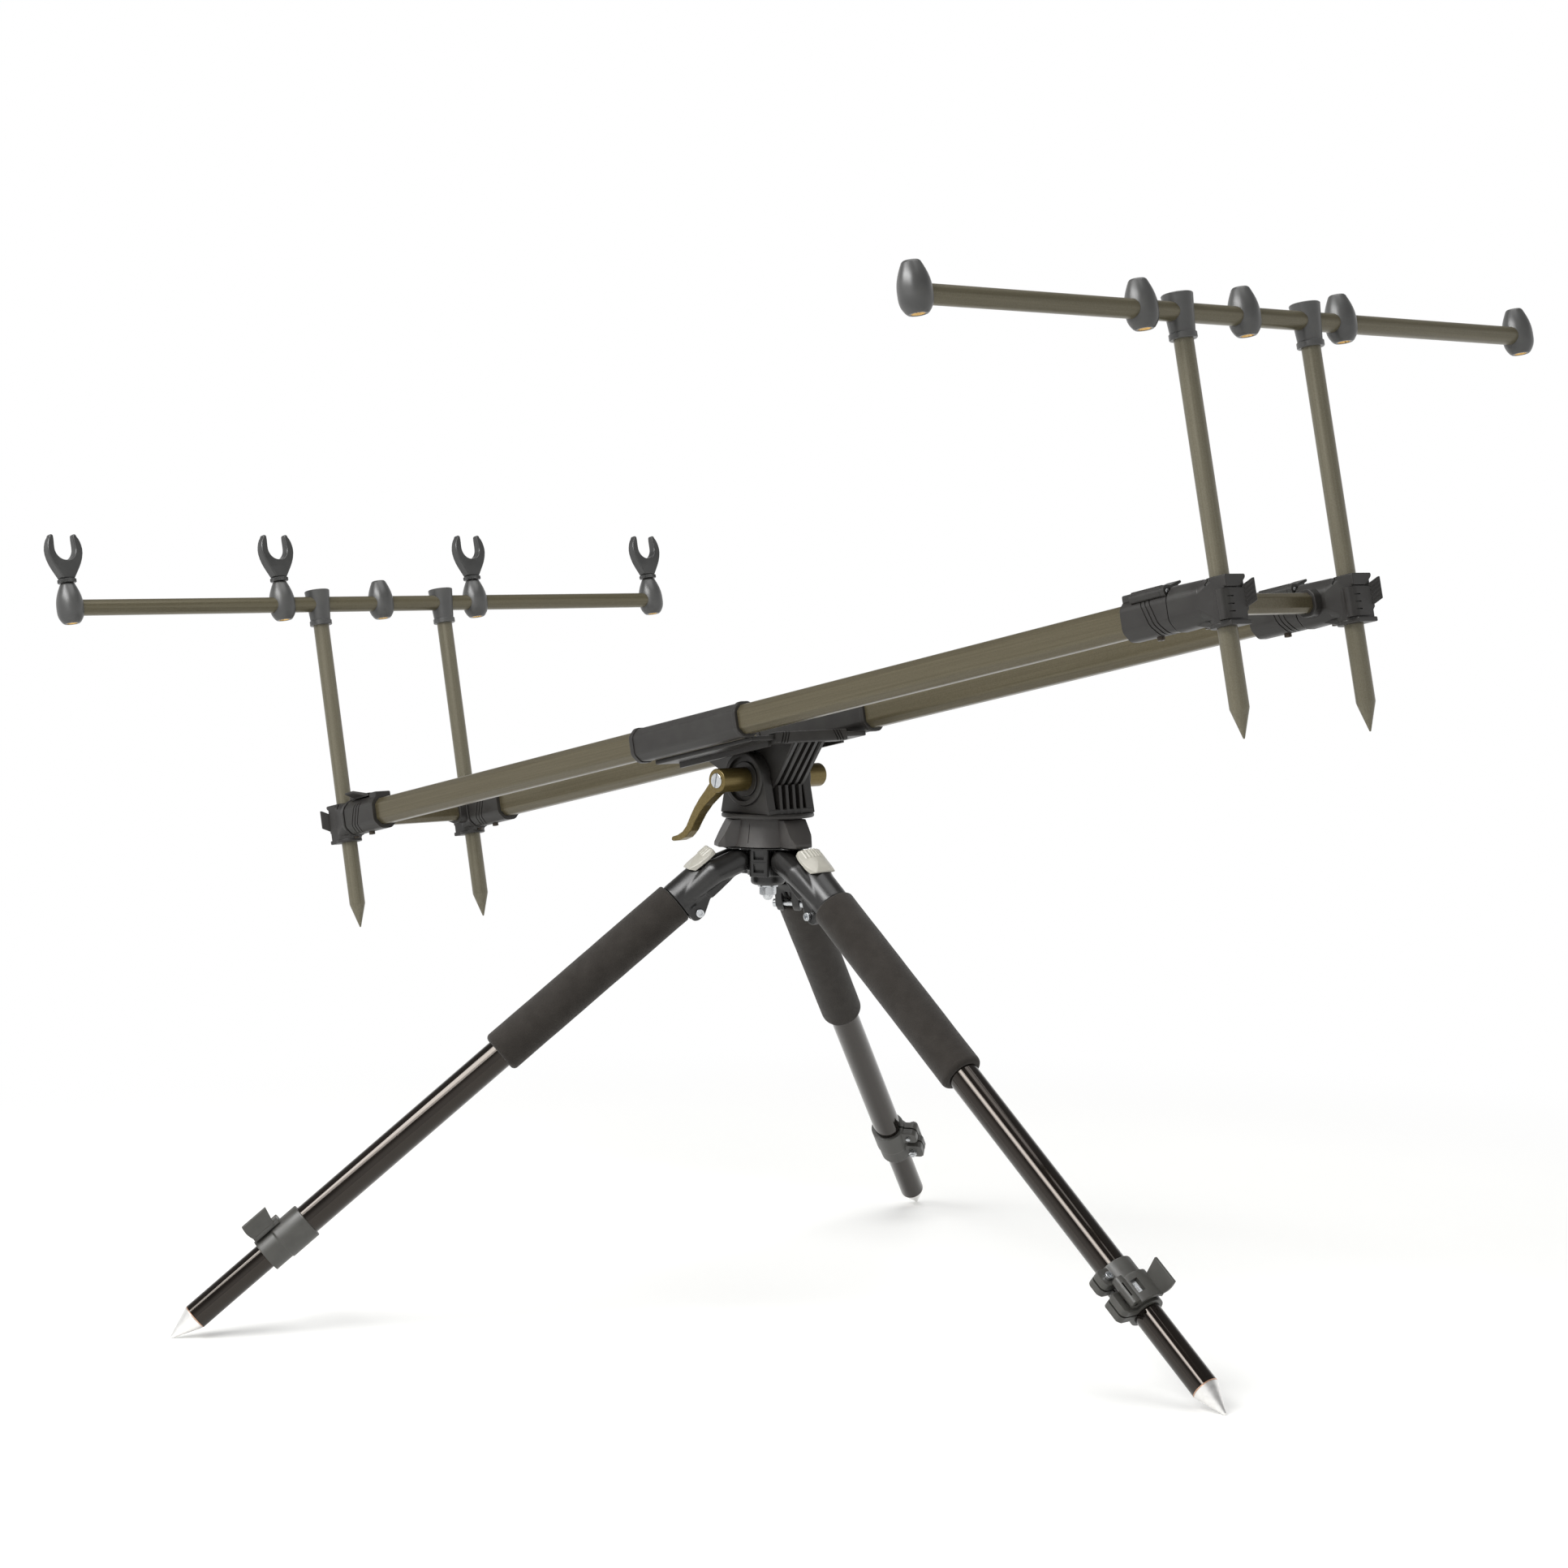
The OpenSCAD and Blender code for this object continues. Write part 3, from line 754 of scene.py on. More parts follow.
@dataclass(frozen=True)
class MouldedNylon(Finish):
    """Glass-filled nylon from a spark-eroded mould: a fine even grain that breaks up the light."""

    shades: tuple[str, str, str] = ("#292725", "#2d2b29", "#31302d")
    gloss: Pair = (0.38, 0.48)
    depth: float = 0.000018

    def surface(self, tree: bpy.types.NodeTree) -> dict[str, bpy.types.NodeSocket]:
        """Spark grain, flow marks of the melt and handling gloss.

        Args:
            tree: Tree that gets the nodes.

        Returns:
            The output that drives each input of the principled shader.
        """
        flow = self.pattern(tree, (0.018,) * 3, detail=3.0)
        tone = add_node(tree, "ShaderNodeValToRGB", {"Fac": flow}, zip((0.3, 0.5, 0.7), self.shades))
        gloss = add_node(tree, "ShaderNodeMapRange", {
            "Value": flow, **NOISE_MIDDLE, "To Min": self.gloss[0], "To Max": self.gloss[1],
        })
        # The real grain is about 0.15 mm, too fine to show, so it is drawn at 0.7 mm
        spark = self.pattern(tree, (0.0007,) * 3, detail=2.0, rough=0.6)
        skin = add_node(tree, "ShaderNodeBump", {"Height": spark, "Distance": self.depth, "Strength": 1.0})
        return {"Base Color": tone.outputs["Color"], "Roughness": gloss.outputs["Result"],
                "Normal": skin.outputs["Normal"]}


@dataclass(frozen=True)
class GripFoam(Finish):
    """Closed-cell rubber foam with a skin: dead matt, with open pores and soft dents."""

    shades: tuple[str, str, str] = ("#2d2925", "#312d29", "#35312d")

    def surface(self, tree: bpy.types.NodeTree) -> dict[str, bpy.types.NodeSocket]:
        """Pores about 1 mm across and a slow unevenness of the skin.

        Args:
            tree: Tree that gets the nodes.

        Returns:
            The output that drives each input of the principled shader.
        """
        place = add_node(tree, "ShaderNodeTexCoord")
        pores = add_node(tree, "ShaderNodeTexVoronoi", {
            "Vector": place.outputs["Object"], "Scale": 1 / 0.0011, "Randomness": 1.0,
        })
        skin = self.pattern(tree, (0.012,) * 3, detail=4.0)
        tone = add_node(tree, "ShaderNodeValToRGB", {"Fac": skin}, zip((0.3, 0.5, 0.72), self.shades))
        dents = add_node(tree, "ShaderNodeBump", {"Height": skin, "Distance": 0.0002, "Strength": 1.0})
        cells = add_node(tree, "ShaderNodeBump", {
            "Height": pores.outputs["Distance"], "Distance": 0.0002, "Strength": 1.0,
            "Normal": dents.outputs["Normal"],
        })
        return {"Base Color": tone.outputs["Color"], "Normal": cells.outputs["Normal"]}


@dataclass(frozen=True)
class BareMetal(Finish):
    """Turned or plated metal left bare: bright, with tool rings and a grey bloom."""

    shades: tuple[str, str] = ("#b9bcbf", "#d3d5d6")
    gloss: Pair = (0.22, 0.36)
    rings: float = 0.0006

    def surface(self, tree: bpy.types.NodeTree) -> dict[str, bpy.types.NodeSocket]:
        """Tool marks and a bloom of tarnish.

        Args:
            tree: Tree that gets the nodes.

        Returns:
            The output that drives each input of the principled shader.
        """
        bloom = self.pattern(tree, (0.004,) * 3, detail=4.0)
        tone = add_node(tree, "ShaderNodeValToRGB", {"Fac": bloom}, zip((0.3, 0.7), self.shades))
        gloss = add_node(tree, "ShaderNodeMapRange", {
            "Value": bloom, **NOISE_MIDDLE, "To Min": self.gloss[0], "To Max": self.gloss[1],
        })
        # Tool marks are about 0.1 mm apart, too fine to show, and are drawn 0.6 mm apart
        marks = self.pattern(tree, (0.01, 0.01, self.rings), detail=1.0)
        turned = add_node(tree, "ShaderNodeBump", {"Height": marks, "Distance": 0.00002, "Strength": 1.0})
        return {"Base Color": tone.outputs["Color"], "Roughness": gloss.outputs["Result"],
                "Normal": turned.outputs["Normal"]}


# Values that do not change over a surface
OLIVE_EVEN = (("Metallic", 0.3), ("Specular IOR Level", 0.5))
NYLON_EVEN = (("Metallic", 0.0), ("IOR", 1.53))
METAL_EVEN = (("Metallic", 1.0),)

# Dull olive with a soft streak along each bevel
RAIL_TUBE = DrawnTube("anodised_olive_drawn_aluminium_rail", "olive_aluminium", OLIVE_EVEN)
# The same coating on a round tube, its olive painted paler than the rails' as painted light for the stronger
# front light on the sticks; one broad streak
STICK_TUBE_PAINTED_LIT = DrawnTube("anodised_olive_drawn_aluminium_stick", "olive_aluminium", OLIVE_EVEN,
                       grain=Grain.ALONG_STICK, shades=("#645f4e", "#6b6655", "#726d5c"))
# The same coating across the view: olive with a bright line along its top
BAR_TUBE = DrawnTube("anodised_olive_drawn_aluminium_bar", "olive_aluminium", OLIVE_EVEN,
                     grain=Grain.ALONG_BAR, shades=("#59533f", "#605a46", "#67614d"))
# Warm bronze that shines more than the tubes
CAST_LEVER = DrawnTube("anodised_bronze_cast_aluminium", "olive_aluminium",
                       (("Metallic", 0.6), ("Specular IOR Level", 0.5)),
                       grain=Grain.ALONG_BAR, shades=("#66572f", "#6f6038", "#786a42"))
# Near black, with crisp narrow streaks like a lacquer's
LEG_TUBE = GlossTube("gloss_black_coated_aluminium", "black_tube", (
    ("Metallic", 0.0), ("Specular IOR Level", 0.42), ("Specular Tint", srgb("#fff0e2")), ("Coat Weight", 0.2),
    ("Coat Roughness", 0.04),
))
# Dark grey with soft grainy highlights
GREY_NYLON = MouldedNylon("moulded_grey_glass_filled_nylon", "grey_plastic", (
    ("Metallic", 0.0), ("Specular IOR Level", 0.38),
))
# Nearly black and smoother, so that its round edges catch the light
BLACK_NYLON = MouldedNylon("moulded_black_nylon", "black_plastic", NYLON_EVEN,
                           shades=("#171615", "#1a1918", "#1e1d1b"), gloss=(0.3, 0.38), depth=0.000006)
# Charcoal, a step lighter than the legs that it sits on
LOCK_NYLON = MouldedNylon("moulded_charcoal_nylon", "black_plastic", NYLON_EVEN,
                          shades=("#403f3b", "#464541", "#4b4a46"), gloss=(0.36, 0.46), depth=0.00001)
# Mid grey with a smooth glow round each swelling; the same nylon as the forks, its grey painted lighter partly
# as painted highlight for the gloss on the swellings
STATION_NYLON_PAINTED_HIGHLIGHT = MouldedNylon("moulded_grey_nylon_polished", "grey_plastic", NYLON_EVEN,
                             shades=("#444443", "#484847", "#4d4d4b"), gloss=(0.3, 0.38), depth=0.000008)
# Dark grey with a smooth gleam on its eased edges
FORK_NYLON = MouldedNylon("moulded_dark_grey_nylon_polished", "grey_plastic", NYLON_EVEN,
                          shades=("#343433", "#383837", "#3c3c3b"), gloss=(0.28, 0.36), depth=0.000008)
# Warm dark grey with a dry grain
SKIRT_NYLON = MouldedNylon("moulded_warm_grey_nylon", "grey_plastic", NYLON_EVEN,
                           shades=("#34312f", "#383533", "#3d3a37"), gloss=(0.36, 0.46), depth=0.000014)
# Pale warm grey, the lightest plastic of the part
PALE_NYLON = MouldedNylon("moulded_pale_grey_nylon", "pale_plastic", NYLON_EVEN,
                          shades=("#b4b1a6", "#bbb8ad", "#c2bfb4"), gloss=(0.3, 0.4), depth=0.000008)
# Dead matt and dark, with a soft edge against the light
FOAM = GripFoam("skinned_closed_cell_foam", "foam", (
    ("Metallic", 0.0), ("Roughness", 0.93), ("Specular IOR Level", 0.25), ("Sheen Weight", 0.15),
    ("Sheen Roughness", 0.5),
))
# Cool bright grey with blurred reflections
ZINC = BareMetal("zinc_plated_steel", "zinc_steel", METAL_EVEN)
# Nearly white metal that takes the tone of what is round it
SPIKE_METAL = BareMetal("turned_bare_aluminium", "bare_aluminium", METAL_EVEN,
                        shades=("#e9e8e6", "#f4f3f1"), gloss=(0.28, 0.38))
# A yellow glint in the mouth of each station
BRASS = BareMetal("turned_brass", "brass", METAL_EVEN, shades=("#c39a5c", "#dcb97e"), gloss=(0.2, 0.32))
# Brown-black metal with a dull shine
DARK_SCREW = BareMetal("black_oxide_steel", "zinc_steel", METAL_EVEN, shades=("#3a3530", "#575048"),
                       gloss=(0.3, 0.42))
# A thin warm line where the coating was cut away
COPPER_EDGE = BareMetal("bare_edge_under_coating", "bare_aluminium", METAL_EVEN,
                        shades=("#c79c82", "#dab79f"), gloss=(0.3, 0.4))


@dataclass
class Pod:
    """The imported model: the frames of its sub-assemblies, and the fitting of each piece to it."""

    joints: dict[str, dict[str, Any]]
    pieces: list[str] = field(default_factory=list)

    def axis(self, joint: str) -> Vector:
        """Direction of a joint in the row frame."""
        return Vector(self.joints[joint]["axis"])

    def point(self, joint: str) -> Vector:
        """Place of a joint in the row frame, in metres."""
        return Vector(self.joints[joint]["pos_m"])

    @staticmethod
    def frame(origin: Vector, x: Vector, y: Vector, z: Vector) -> Matrix:
        """Frame in millimetres at an origin.

        Args:
            origin: Origin in metres.
            x: Direction of the first axis.
            y: Direction of the second axis.
            z: Direction of the third axis.

        Returns:
            The matrix from that frame to the row frame.
        """
        turn = Matrix((x, y, z)).transposed().to_4x4()
        return Matrix.Translation(origin) @ turn @ Matrix.Scale(MM, 4)

    def leg(self, leg: Leg, offset: float) -> Matrix:
        """Frame of a leg: Z down its tube, X to its underside, its pivot at an offset along X.

        Args:
            leg: The leg.
            offset: Distance of the pivot from the tube's axis, in millimetres.

        Returns:
            The matrix from that frame to the row frame.
        """
        across, down = self.axis(f"{leg.value}_leg_fold"), self.axis(f"{leg.value}_leg_extend")
        under = across.cross(down)
        return self.frame(self.point(f"{leg.value}_leg_fold") - under * offset * MM, under, across, down)

    def level(self, height: float) -> Matrix:
        """Level frame on the swivel axis at a height in metres."""
        return self.frame(Vector((0, 0, height)), Vector((1, 0, 0)), Vector((0, 1, 0)), Vector((0, 0, 1)))

    def beam(self) -> Matrix:
        """Frame of the rails: X along them, origin on the tilt axis."""
        along, up = self.axis("front_rail_extend"), self.axis("front_stick_height")
        return self.frame(self.point("beam_tilt"), along, up.cross(along), up)

    def fit(self, work: Stock, name: str, where: Matrix, finish: Finish, body: str,
            nodes: Sequence[str] = (), smooth: float = 35.0) -> bpy.types.Object:
        """Place finished work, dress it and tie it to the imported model.

        Args:
            work: The work, in millimetres in its own frame.
            name: Name of the piece.
            where: Matrix from its own frame to the row frame.
            finish: Finish of its surface.
            body: Body that it rides on.
            nodes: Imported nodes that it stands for.
            smooth: Angle in degrees up to which two faces are shaded as one.

        Returns:
            The piece.
        """
        piece = work.move(where).obj
        piece.name = piece.data.name = name
        piece.data.materials.clear()
        piece.data.materials.append(finish.material())
        work.pick()
        bpy.ops.object.shade_smooth_by_angle(angle=math.radians(smooth))
        work.modify("WEIGHTED_NORMAL", keep_sharp=True)
        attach(piece, body)
        if nodes:
            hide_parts(*nodes)
        self.pieces.append(name)
        LOG.info("%s: %d faces, %s", name, len(piece.data.polygons), finish.name)
        return piece


@dataclass
class TripodLeg:
    """A telescopic leg with its forked yoke, foam grip, flip lock and spike, in its own frame."""

    offset: float = 7.0
    pin_r: float = 4.0
    screw_r: float = 2.5
    fork_half: float = 7.4
    knee: Triple = (0.0, 12.6, 23.0)
    knee_r: float = 11.6
    tube_r: float = 14.0
    tube_bore: float = 12.65
    tube_span: Pair = (34.2, 537.0)
    lower_r: float = 12.25
    lower_bore: float = 10.95
    chamfer: float = 0.7
    lower_span: Pair = (160.0, 642.0)
    spike_end: float = 670.0
    tip_r: float = 1.5
    foam_r: float = 20.0
    foam_span: Pair = (68.0, 281.0)
    collar_r: float = 17.2
    collar_span: Pair = (32.0, 67.6)
    pinch_at: Pair = (20.5, 58.0)
    ear_y: Pair = (4.6, 11.5)
    hinge_at: Pair = (-13.2, -21.5)
    clamp_z: float = 521.0
    draw_z: float = 548.25
    lever_z: Pair = (529.0, 557.0)
    window_y: Pair = (-13.5, -7.5)
    crown_r: float = 27.0

    def upper_tube(self) -> Stock:
        """Fixed tube."""
        return Stock.turned(tube_profile(self.tube_r, self.tube_bore, *self.tube_span, 0.5),
                            closed=True, steps=FINE)

    def lower_tube(self) -> Stock:
        """Sliding tube, up to its cut edge."""
        start, stop = self.lower_span
        return Stock.turned(tube_profile(self.lower_r, self.lower_bore, start, stop - self.chamfer, 0.05),
                            closed=True, steps=FINE)

    def cut_edge(self) -> Stock:
        """Bare chamfer at the sliding tube's cut end.

        Returns:
            The edge.
        """
        stop, bore = self.lower_span[1], self.lower_bore
        start = stop - self.chamfer
        profile = [(bore, start), (self.lower_r, start), (self.lower_r - self.chamfer / 2, stop), (bore, stop)]
        return Stock.turned(profile, closed=True, steps=FINE)

    def spike(self) -> Stock:
        """Turned point with a rounded tip and a plug in the tube.

        Returns:
            The spike.
        """
        base, start = self.lower_r - 0.2, self.lower_span[1] + CLEAR
        lean = math.degrees(math.atan(base / (self.spike_end - start)))
        tip = arc(self.tip_r, lean, 90, 6, (0, self.spike_end - self.tip_r))
        plug = [(0, start - 20), (10.8, start - 20), (10.8, start)]
        cone = [(base - 0.3, start), (base, start + 0.4), *tip[:-1], (0, self.spike_end)]
        return Stock.turned([*plug, *cone], steps=FINE)

    def foam_grip(self) -> Stock:
        """Foam sleeve with soft ends and a slightly uneven skin.

        Returns:
            The sleeve.
        """
        (start, stop), r, bore = self.foam_span, self.foam_r, self.tube_r + CLEAR
        steps = 72
        run = [(r, start + 3 + (stop - start - 9) * i / steps) for i in range(1, steps)]
        profile = [
            (bore, start), *arc(2.2, 270, 360, 5, (r - 2.2, start + 2.2)), *run,
            *arc(4.5, 0, 90, 6, (r - 4.5, stop - 4.5)), (bore, stop),
        ]
        grip = Stock.turned(profile, closed=True, steps=FINE)
        skin = bpy.data.textures.new("foam_skin", "CLOUDS")
        skin.noise_scale = 26.0
        return grip.modify("DISPLACE", texture=skin, texture_coords="LOCAL", strength=0.4, mid_level=0.5)

    def yoke(self) -> Stock:
        """Forked moulding from the pivot to the tube clamp, with two ears for the pinch screw.

        Returns:
            The yoke.
        """
        pin, gap = (self.offset, 0.0), self.fork_half
        half = Stock.rod(11.2, gap, 13, Axis.Y, pin).hull(
            Stock.rod(9, gap, 17, Axis.Y, pin), Stock.rod(5.5, gap, 19, Axis.Y, pin),
            Stock.ball(self.knee_r, self.knee))
        arm = Stock.ball(self.knee_r, self.knee).hull(Stock.ball(8.6, (1, 9, 60)))
        rib = Stock.prism([(5, 5), (15.5, 9), (16.5, 20), (17.5, 40), (8, 44), (0, 30)], 9, 13.5, Axis.Y)
        ear = Stock.prism([(10, 36), (16, 40), (22, 50), (25.5, 56), (25.5, 63), (23, 67), (10, 67)],
                          *self.ear_y, Axis.Y, corner=1.5)
        half.join(arm, rib, ear)
        whole = Stock.rod(self.collar_r, *self.collar_span, sides=FINE).join(half.copy().flip_y(), half)
        return whole.mould(0.7, 14).cut(
            Stock.rod(15, -gap, gap, Axis.Y, pin), Stock.block((-22, -gap, 8), (2, gap, 32)),
            Stock.rod(self.tube_r + CLEAR, 34, 110, sides=FINE),
            Stock.rod(self.pin_r + CLEAR, -15.6, 15.6, Axis.Y, pin),
            Stock.block((12, -1.2, 44), (40, 1.2, 80)),
            Stock.rod(self.screw_r + CLEAR, -20, 20, Axis.Y, self.pinch_at))

    def angle_tab(self) -> Stock:
        """Sliding catch: a low crowned cap with ridges along its inner end, thin where it lies on the clamp.

        Returns:
            The catch.
        """
        side = [
            (-12.4, 11), (-18.4, 11), (-20.0, 12.6), (-20.6, 16), (-20.8, 22), (-20.6, 29), (-19.9, 35),
            (-18.6, 39.5), (-17.4, 40.2), (-12.4, 36),
        ]
        plan = [
            (-13.6, 10), (13.6, 10), (16.0, 18), (15.6, 30), (12.0, 41), (-12.0, 41), (-15.6, 30), (-16.0, 18),
        ]
        middle = self.crown_r - 20.8
        cap = Stock.prism(side, -18, 18, Axis.Y).trim(
            Stock.prism(plan, -30, -4, Axis.X, corner=3.0),
            Stock.rod(self.crown_r, 0, 60, at=(middle, 0), sides=128))
        ridge = Stock.turned(bar_profile(1.15, 11.6, 22.5, 1.0), steps=24).shift(x=-20.4)
        ridges = [ridge.copy().swing(7.6 * step, Axis.Z, (middle, 0, 0)) for step in range(-3, 4)]
        ridge.scrap()
        cap.join(Stock.block((-19.0, -6, 17), (-6, 6, 25)), *ridges).mould(0.45, 3)
        below = Stock.turned([(0, 20), (12.4, 20), (17.6, 26), (17.6, 80), (0, 80)], steps=FINE)
        return cap.cut(below.cut(Stock.block((-17, -6.1, 0), (-5, 6.1, 25.2))))

    def lock_collar(self) -> Stock:
        """Two clamp rings with blocky lugs, each split by a slit.

        Returns:
            The rings, as one piece.
        """
        upper = [(-10, 512), (-27, 512), (-30.4, 515.5), (-30.4, 526.5), (-27, 530), (-10, 530)]
        lower = [(-10, 537.5), (-30, 537.5), (-31.6, 540), (-31.6, 556), (-28, 559), (-10, 559)]
        whole = Stock.rod(17.3, 510, 540, sides=FINE).join(
            Stock.rod(16.25, 539, 559, sides=FINE),
            *(Stock.prism(outline, -7.2, 7.2, Axis.X, corner=1.5) for outline in (upper, lower)))
        return whole.mould(0.55, 3).cut(
            Stock.rod(self.tube_r + CLEAR, 500, 537.2, sides=FINE), Stock.rod(12.6, 500, 570, sides=FINE),
            Stock.block((-0.8, -40, 509), (0.8, -12, 532)), Stock.block((-0.8, -40, 536), (0.8, -11, 560)),
            *(Stock.rod(self.screw_r + CLEAR, -20, 20, Axis.X, (self.hinge_at[1], z))
              for z in (self.clamp_z, self.draw_z)))

    def lock_lever(self) -> Stock:
        """Flip lever: a curved plate on a hinge barrel, with a window and a finger tab that stands up.

        Returns:
            The lever.
        """
        (low, high), (left, right) = self.lever_z, self.window_y
        plate = Stock.turned([(18.4, low), (21.6, low), (21.6, high), (18.4, high)], closed=True, steps=FINE)
        plate.trim(Stock.block((-30, -22, low - 1), (-7.6, 8.4, high + 1)))
        plate.join(Stock.rod(5.4, low, high, at=self.hinge_at)).mould(0.5, 4)
        bowed = [(-36.4 + 2.3 * i, 557.6 - 0.24 * i + 1.7 * math.sin(math.pi * i / 8)) for i in range(9)]
        tab = Stock.prism([(-18.0, 534.3), (-36.4, 530.0), *bowed], 5.2, 8.6, Axis.Y).ease(0.5, 3)
        tab.weld(Stock.block((-20.8, 4.5, 535.4), (-18.3, 9.3, 554.6)).ease(0.4))
        plate.weld(tab.swing(-9, Axis.Z, (-18, 7, 0)))
        return plate.cut(
            Stock.block((-30, left, 535.5), (-10, right, 548.5)),
            Stock.rod(2, low - 1, high + 1, at=self.hinge_at), Stock.block((-18, -25, 536), (-9, -15.5, 550)))

    def lock_leaf(self) -> Stock:
        """Bright curved leaf behind the lever's window."""
        leaf = Stock.turned(tube_profile(18.3, 17.7, 534, 550, 0.2), closed=True, steps=FINE)
        return leaf.trim(Stock.block((-30, self.window_y[0] - 1, 530), (-5, self.window_y[1] + 1, 555)))

    def screws(self) -> Stock:
        """Pinch screw, clamp screw and draw bolt of a leg.

        Returns:
            The set, as one piece.
        """
        (x, z), r = self.pinch_at, self.screw_r
        outer = self.ear_y[1] + 0.1
        pinch = Stock.turned(bar_profile(r, -outer - 1, outer + 1, 0.2), Axis.Y, steps=32)
        head = self.socket_head(Axis.Y).shift(y=-outer - 3.4)
        pinch.join(head.copy()).join(head.flip_y()).shift(x=x, z=z)
        clamp = Stock.turned(bar_profile(r, -8, 9.5, 0.3), Axis.X, steps=32)
        clamp.join(self.socket_head(Axis.X).shift(x=-10.4)).shift(y=self.hinge_at[1], z=self.clamp_z)
        bolt = Stock.turned(bar_profile(r, -6.5, 13, 0.5), Axis.X, steps=32)
        nut = Stock.prism(hexagon(4.6), 7.1, 11.1, Axis.X).ease(0.35)
        bolt.join(nut).shift(y=self.hinge_at[1], z=self.draw_z)
        return pinch.join(clamp, bolt)

    @staticmethod
    def socket_head(axis: Axis) -> Stock:
        """Screw head with a six-sided socket in its face, which is at zero along the axis."""
        head = Stock.turned(bar_profile(3.9, 0, 3.3, 0.5), axis, steps=48)
        return head.cut(Stock.prism(hexagon(2.3), -1, 2.2, axis))

    def build(self, pod: Pod) -> None:
        """Model each piece once, and copy and fit it to the three legs.

        Args:
            pod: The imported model.
        """
        plan = [
            ("leg_yoke", self.yoke(), BLACK_NYLON, "leg", "yoke_moulding"),
            ("upper_tube", self.upper_tube(), LEG_TUBE, "leg", "fixed_tube"),
            ("foam_grip", self.foam_grip(), FOAM, "leg", "foam_sleeve"),
            ("lock_collar", self.lock_collar(), LOCK_NYLON, "leg", "clamp_rings"),
            ("leg_screws", self.screws(), ZINC, "leg", "screw_set"),
            ("angle_tab", self.angle_tab(), PALE_NYLON, "angle_catch", "catch_cap"),
            ("lock_lever", self.lock_lever(), LOCK_NYLON, "leg_lock", "flip_lever"),
            (None, self.lock_leaf(), ZINC, "leg_lock", "cross_pin"),
            ("lower_tube", self.lower_tube(), LEG_TUBE, "lower_leg", "sliding_tube"),
            (None, self.cut_edge(), COPPER_EDGE, "lower_leg", "cut_edge"),
            ("spike_foot", self.spike(), SPIKE_METAL, "lower_leg", "spike"),
        ]
        for node, master, finish, body, label in plan:
            for number, leg in enumerate(Leg):
                work = master.copy()
                if label == "foam_sleeve":
                    # Each sleeve is turned, so that no two show the same dents
                    work.swing(130 * number, Axis.Z)
                nodes = (f"{leg.value}_{node}",) if node else ()
                piece = pod.fit(work, f"{leg.value}_{label}", pod.leg(leg, self.offset), finish,
                                f"{leg.value}_{body}", nodes)
            master.scrap()


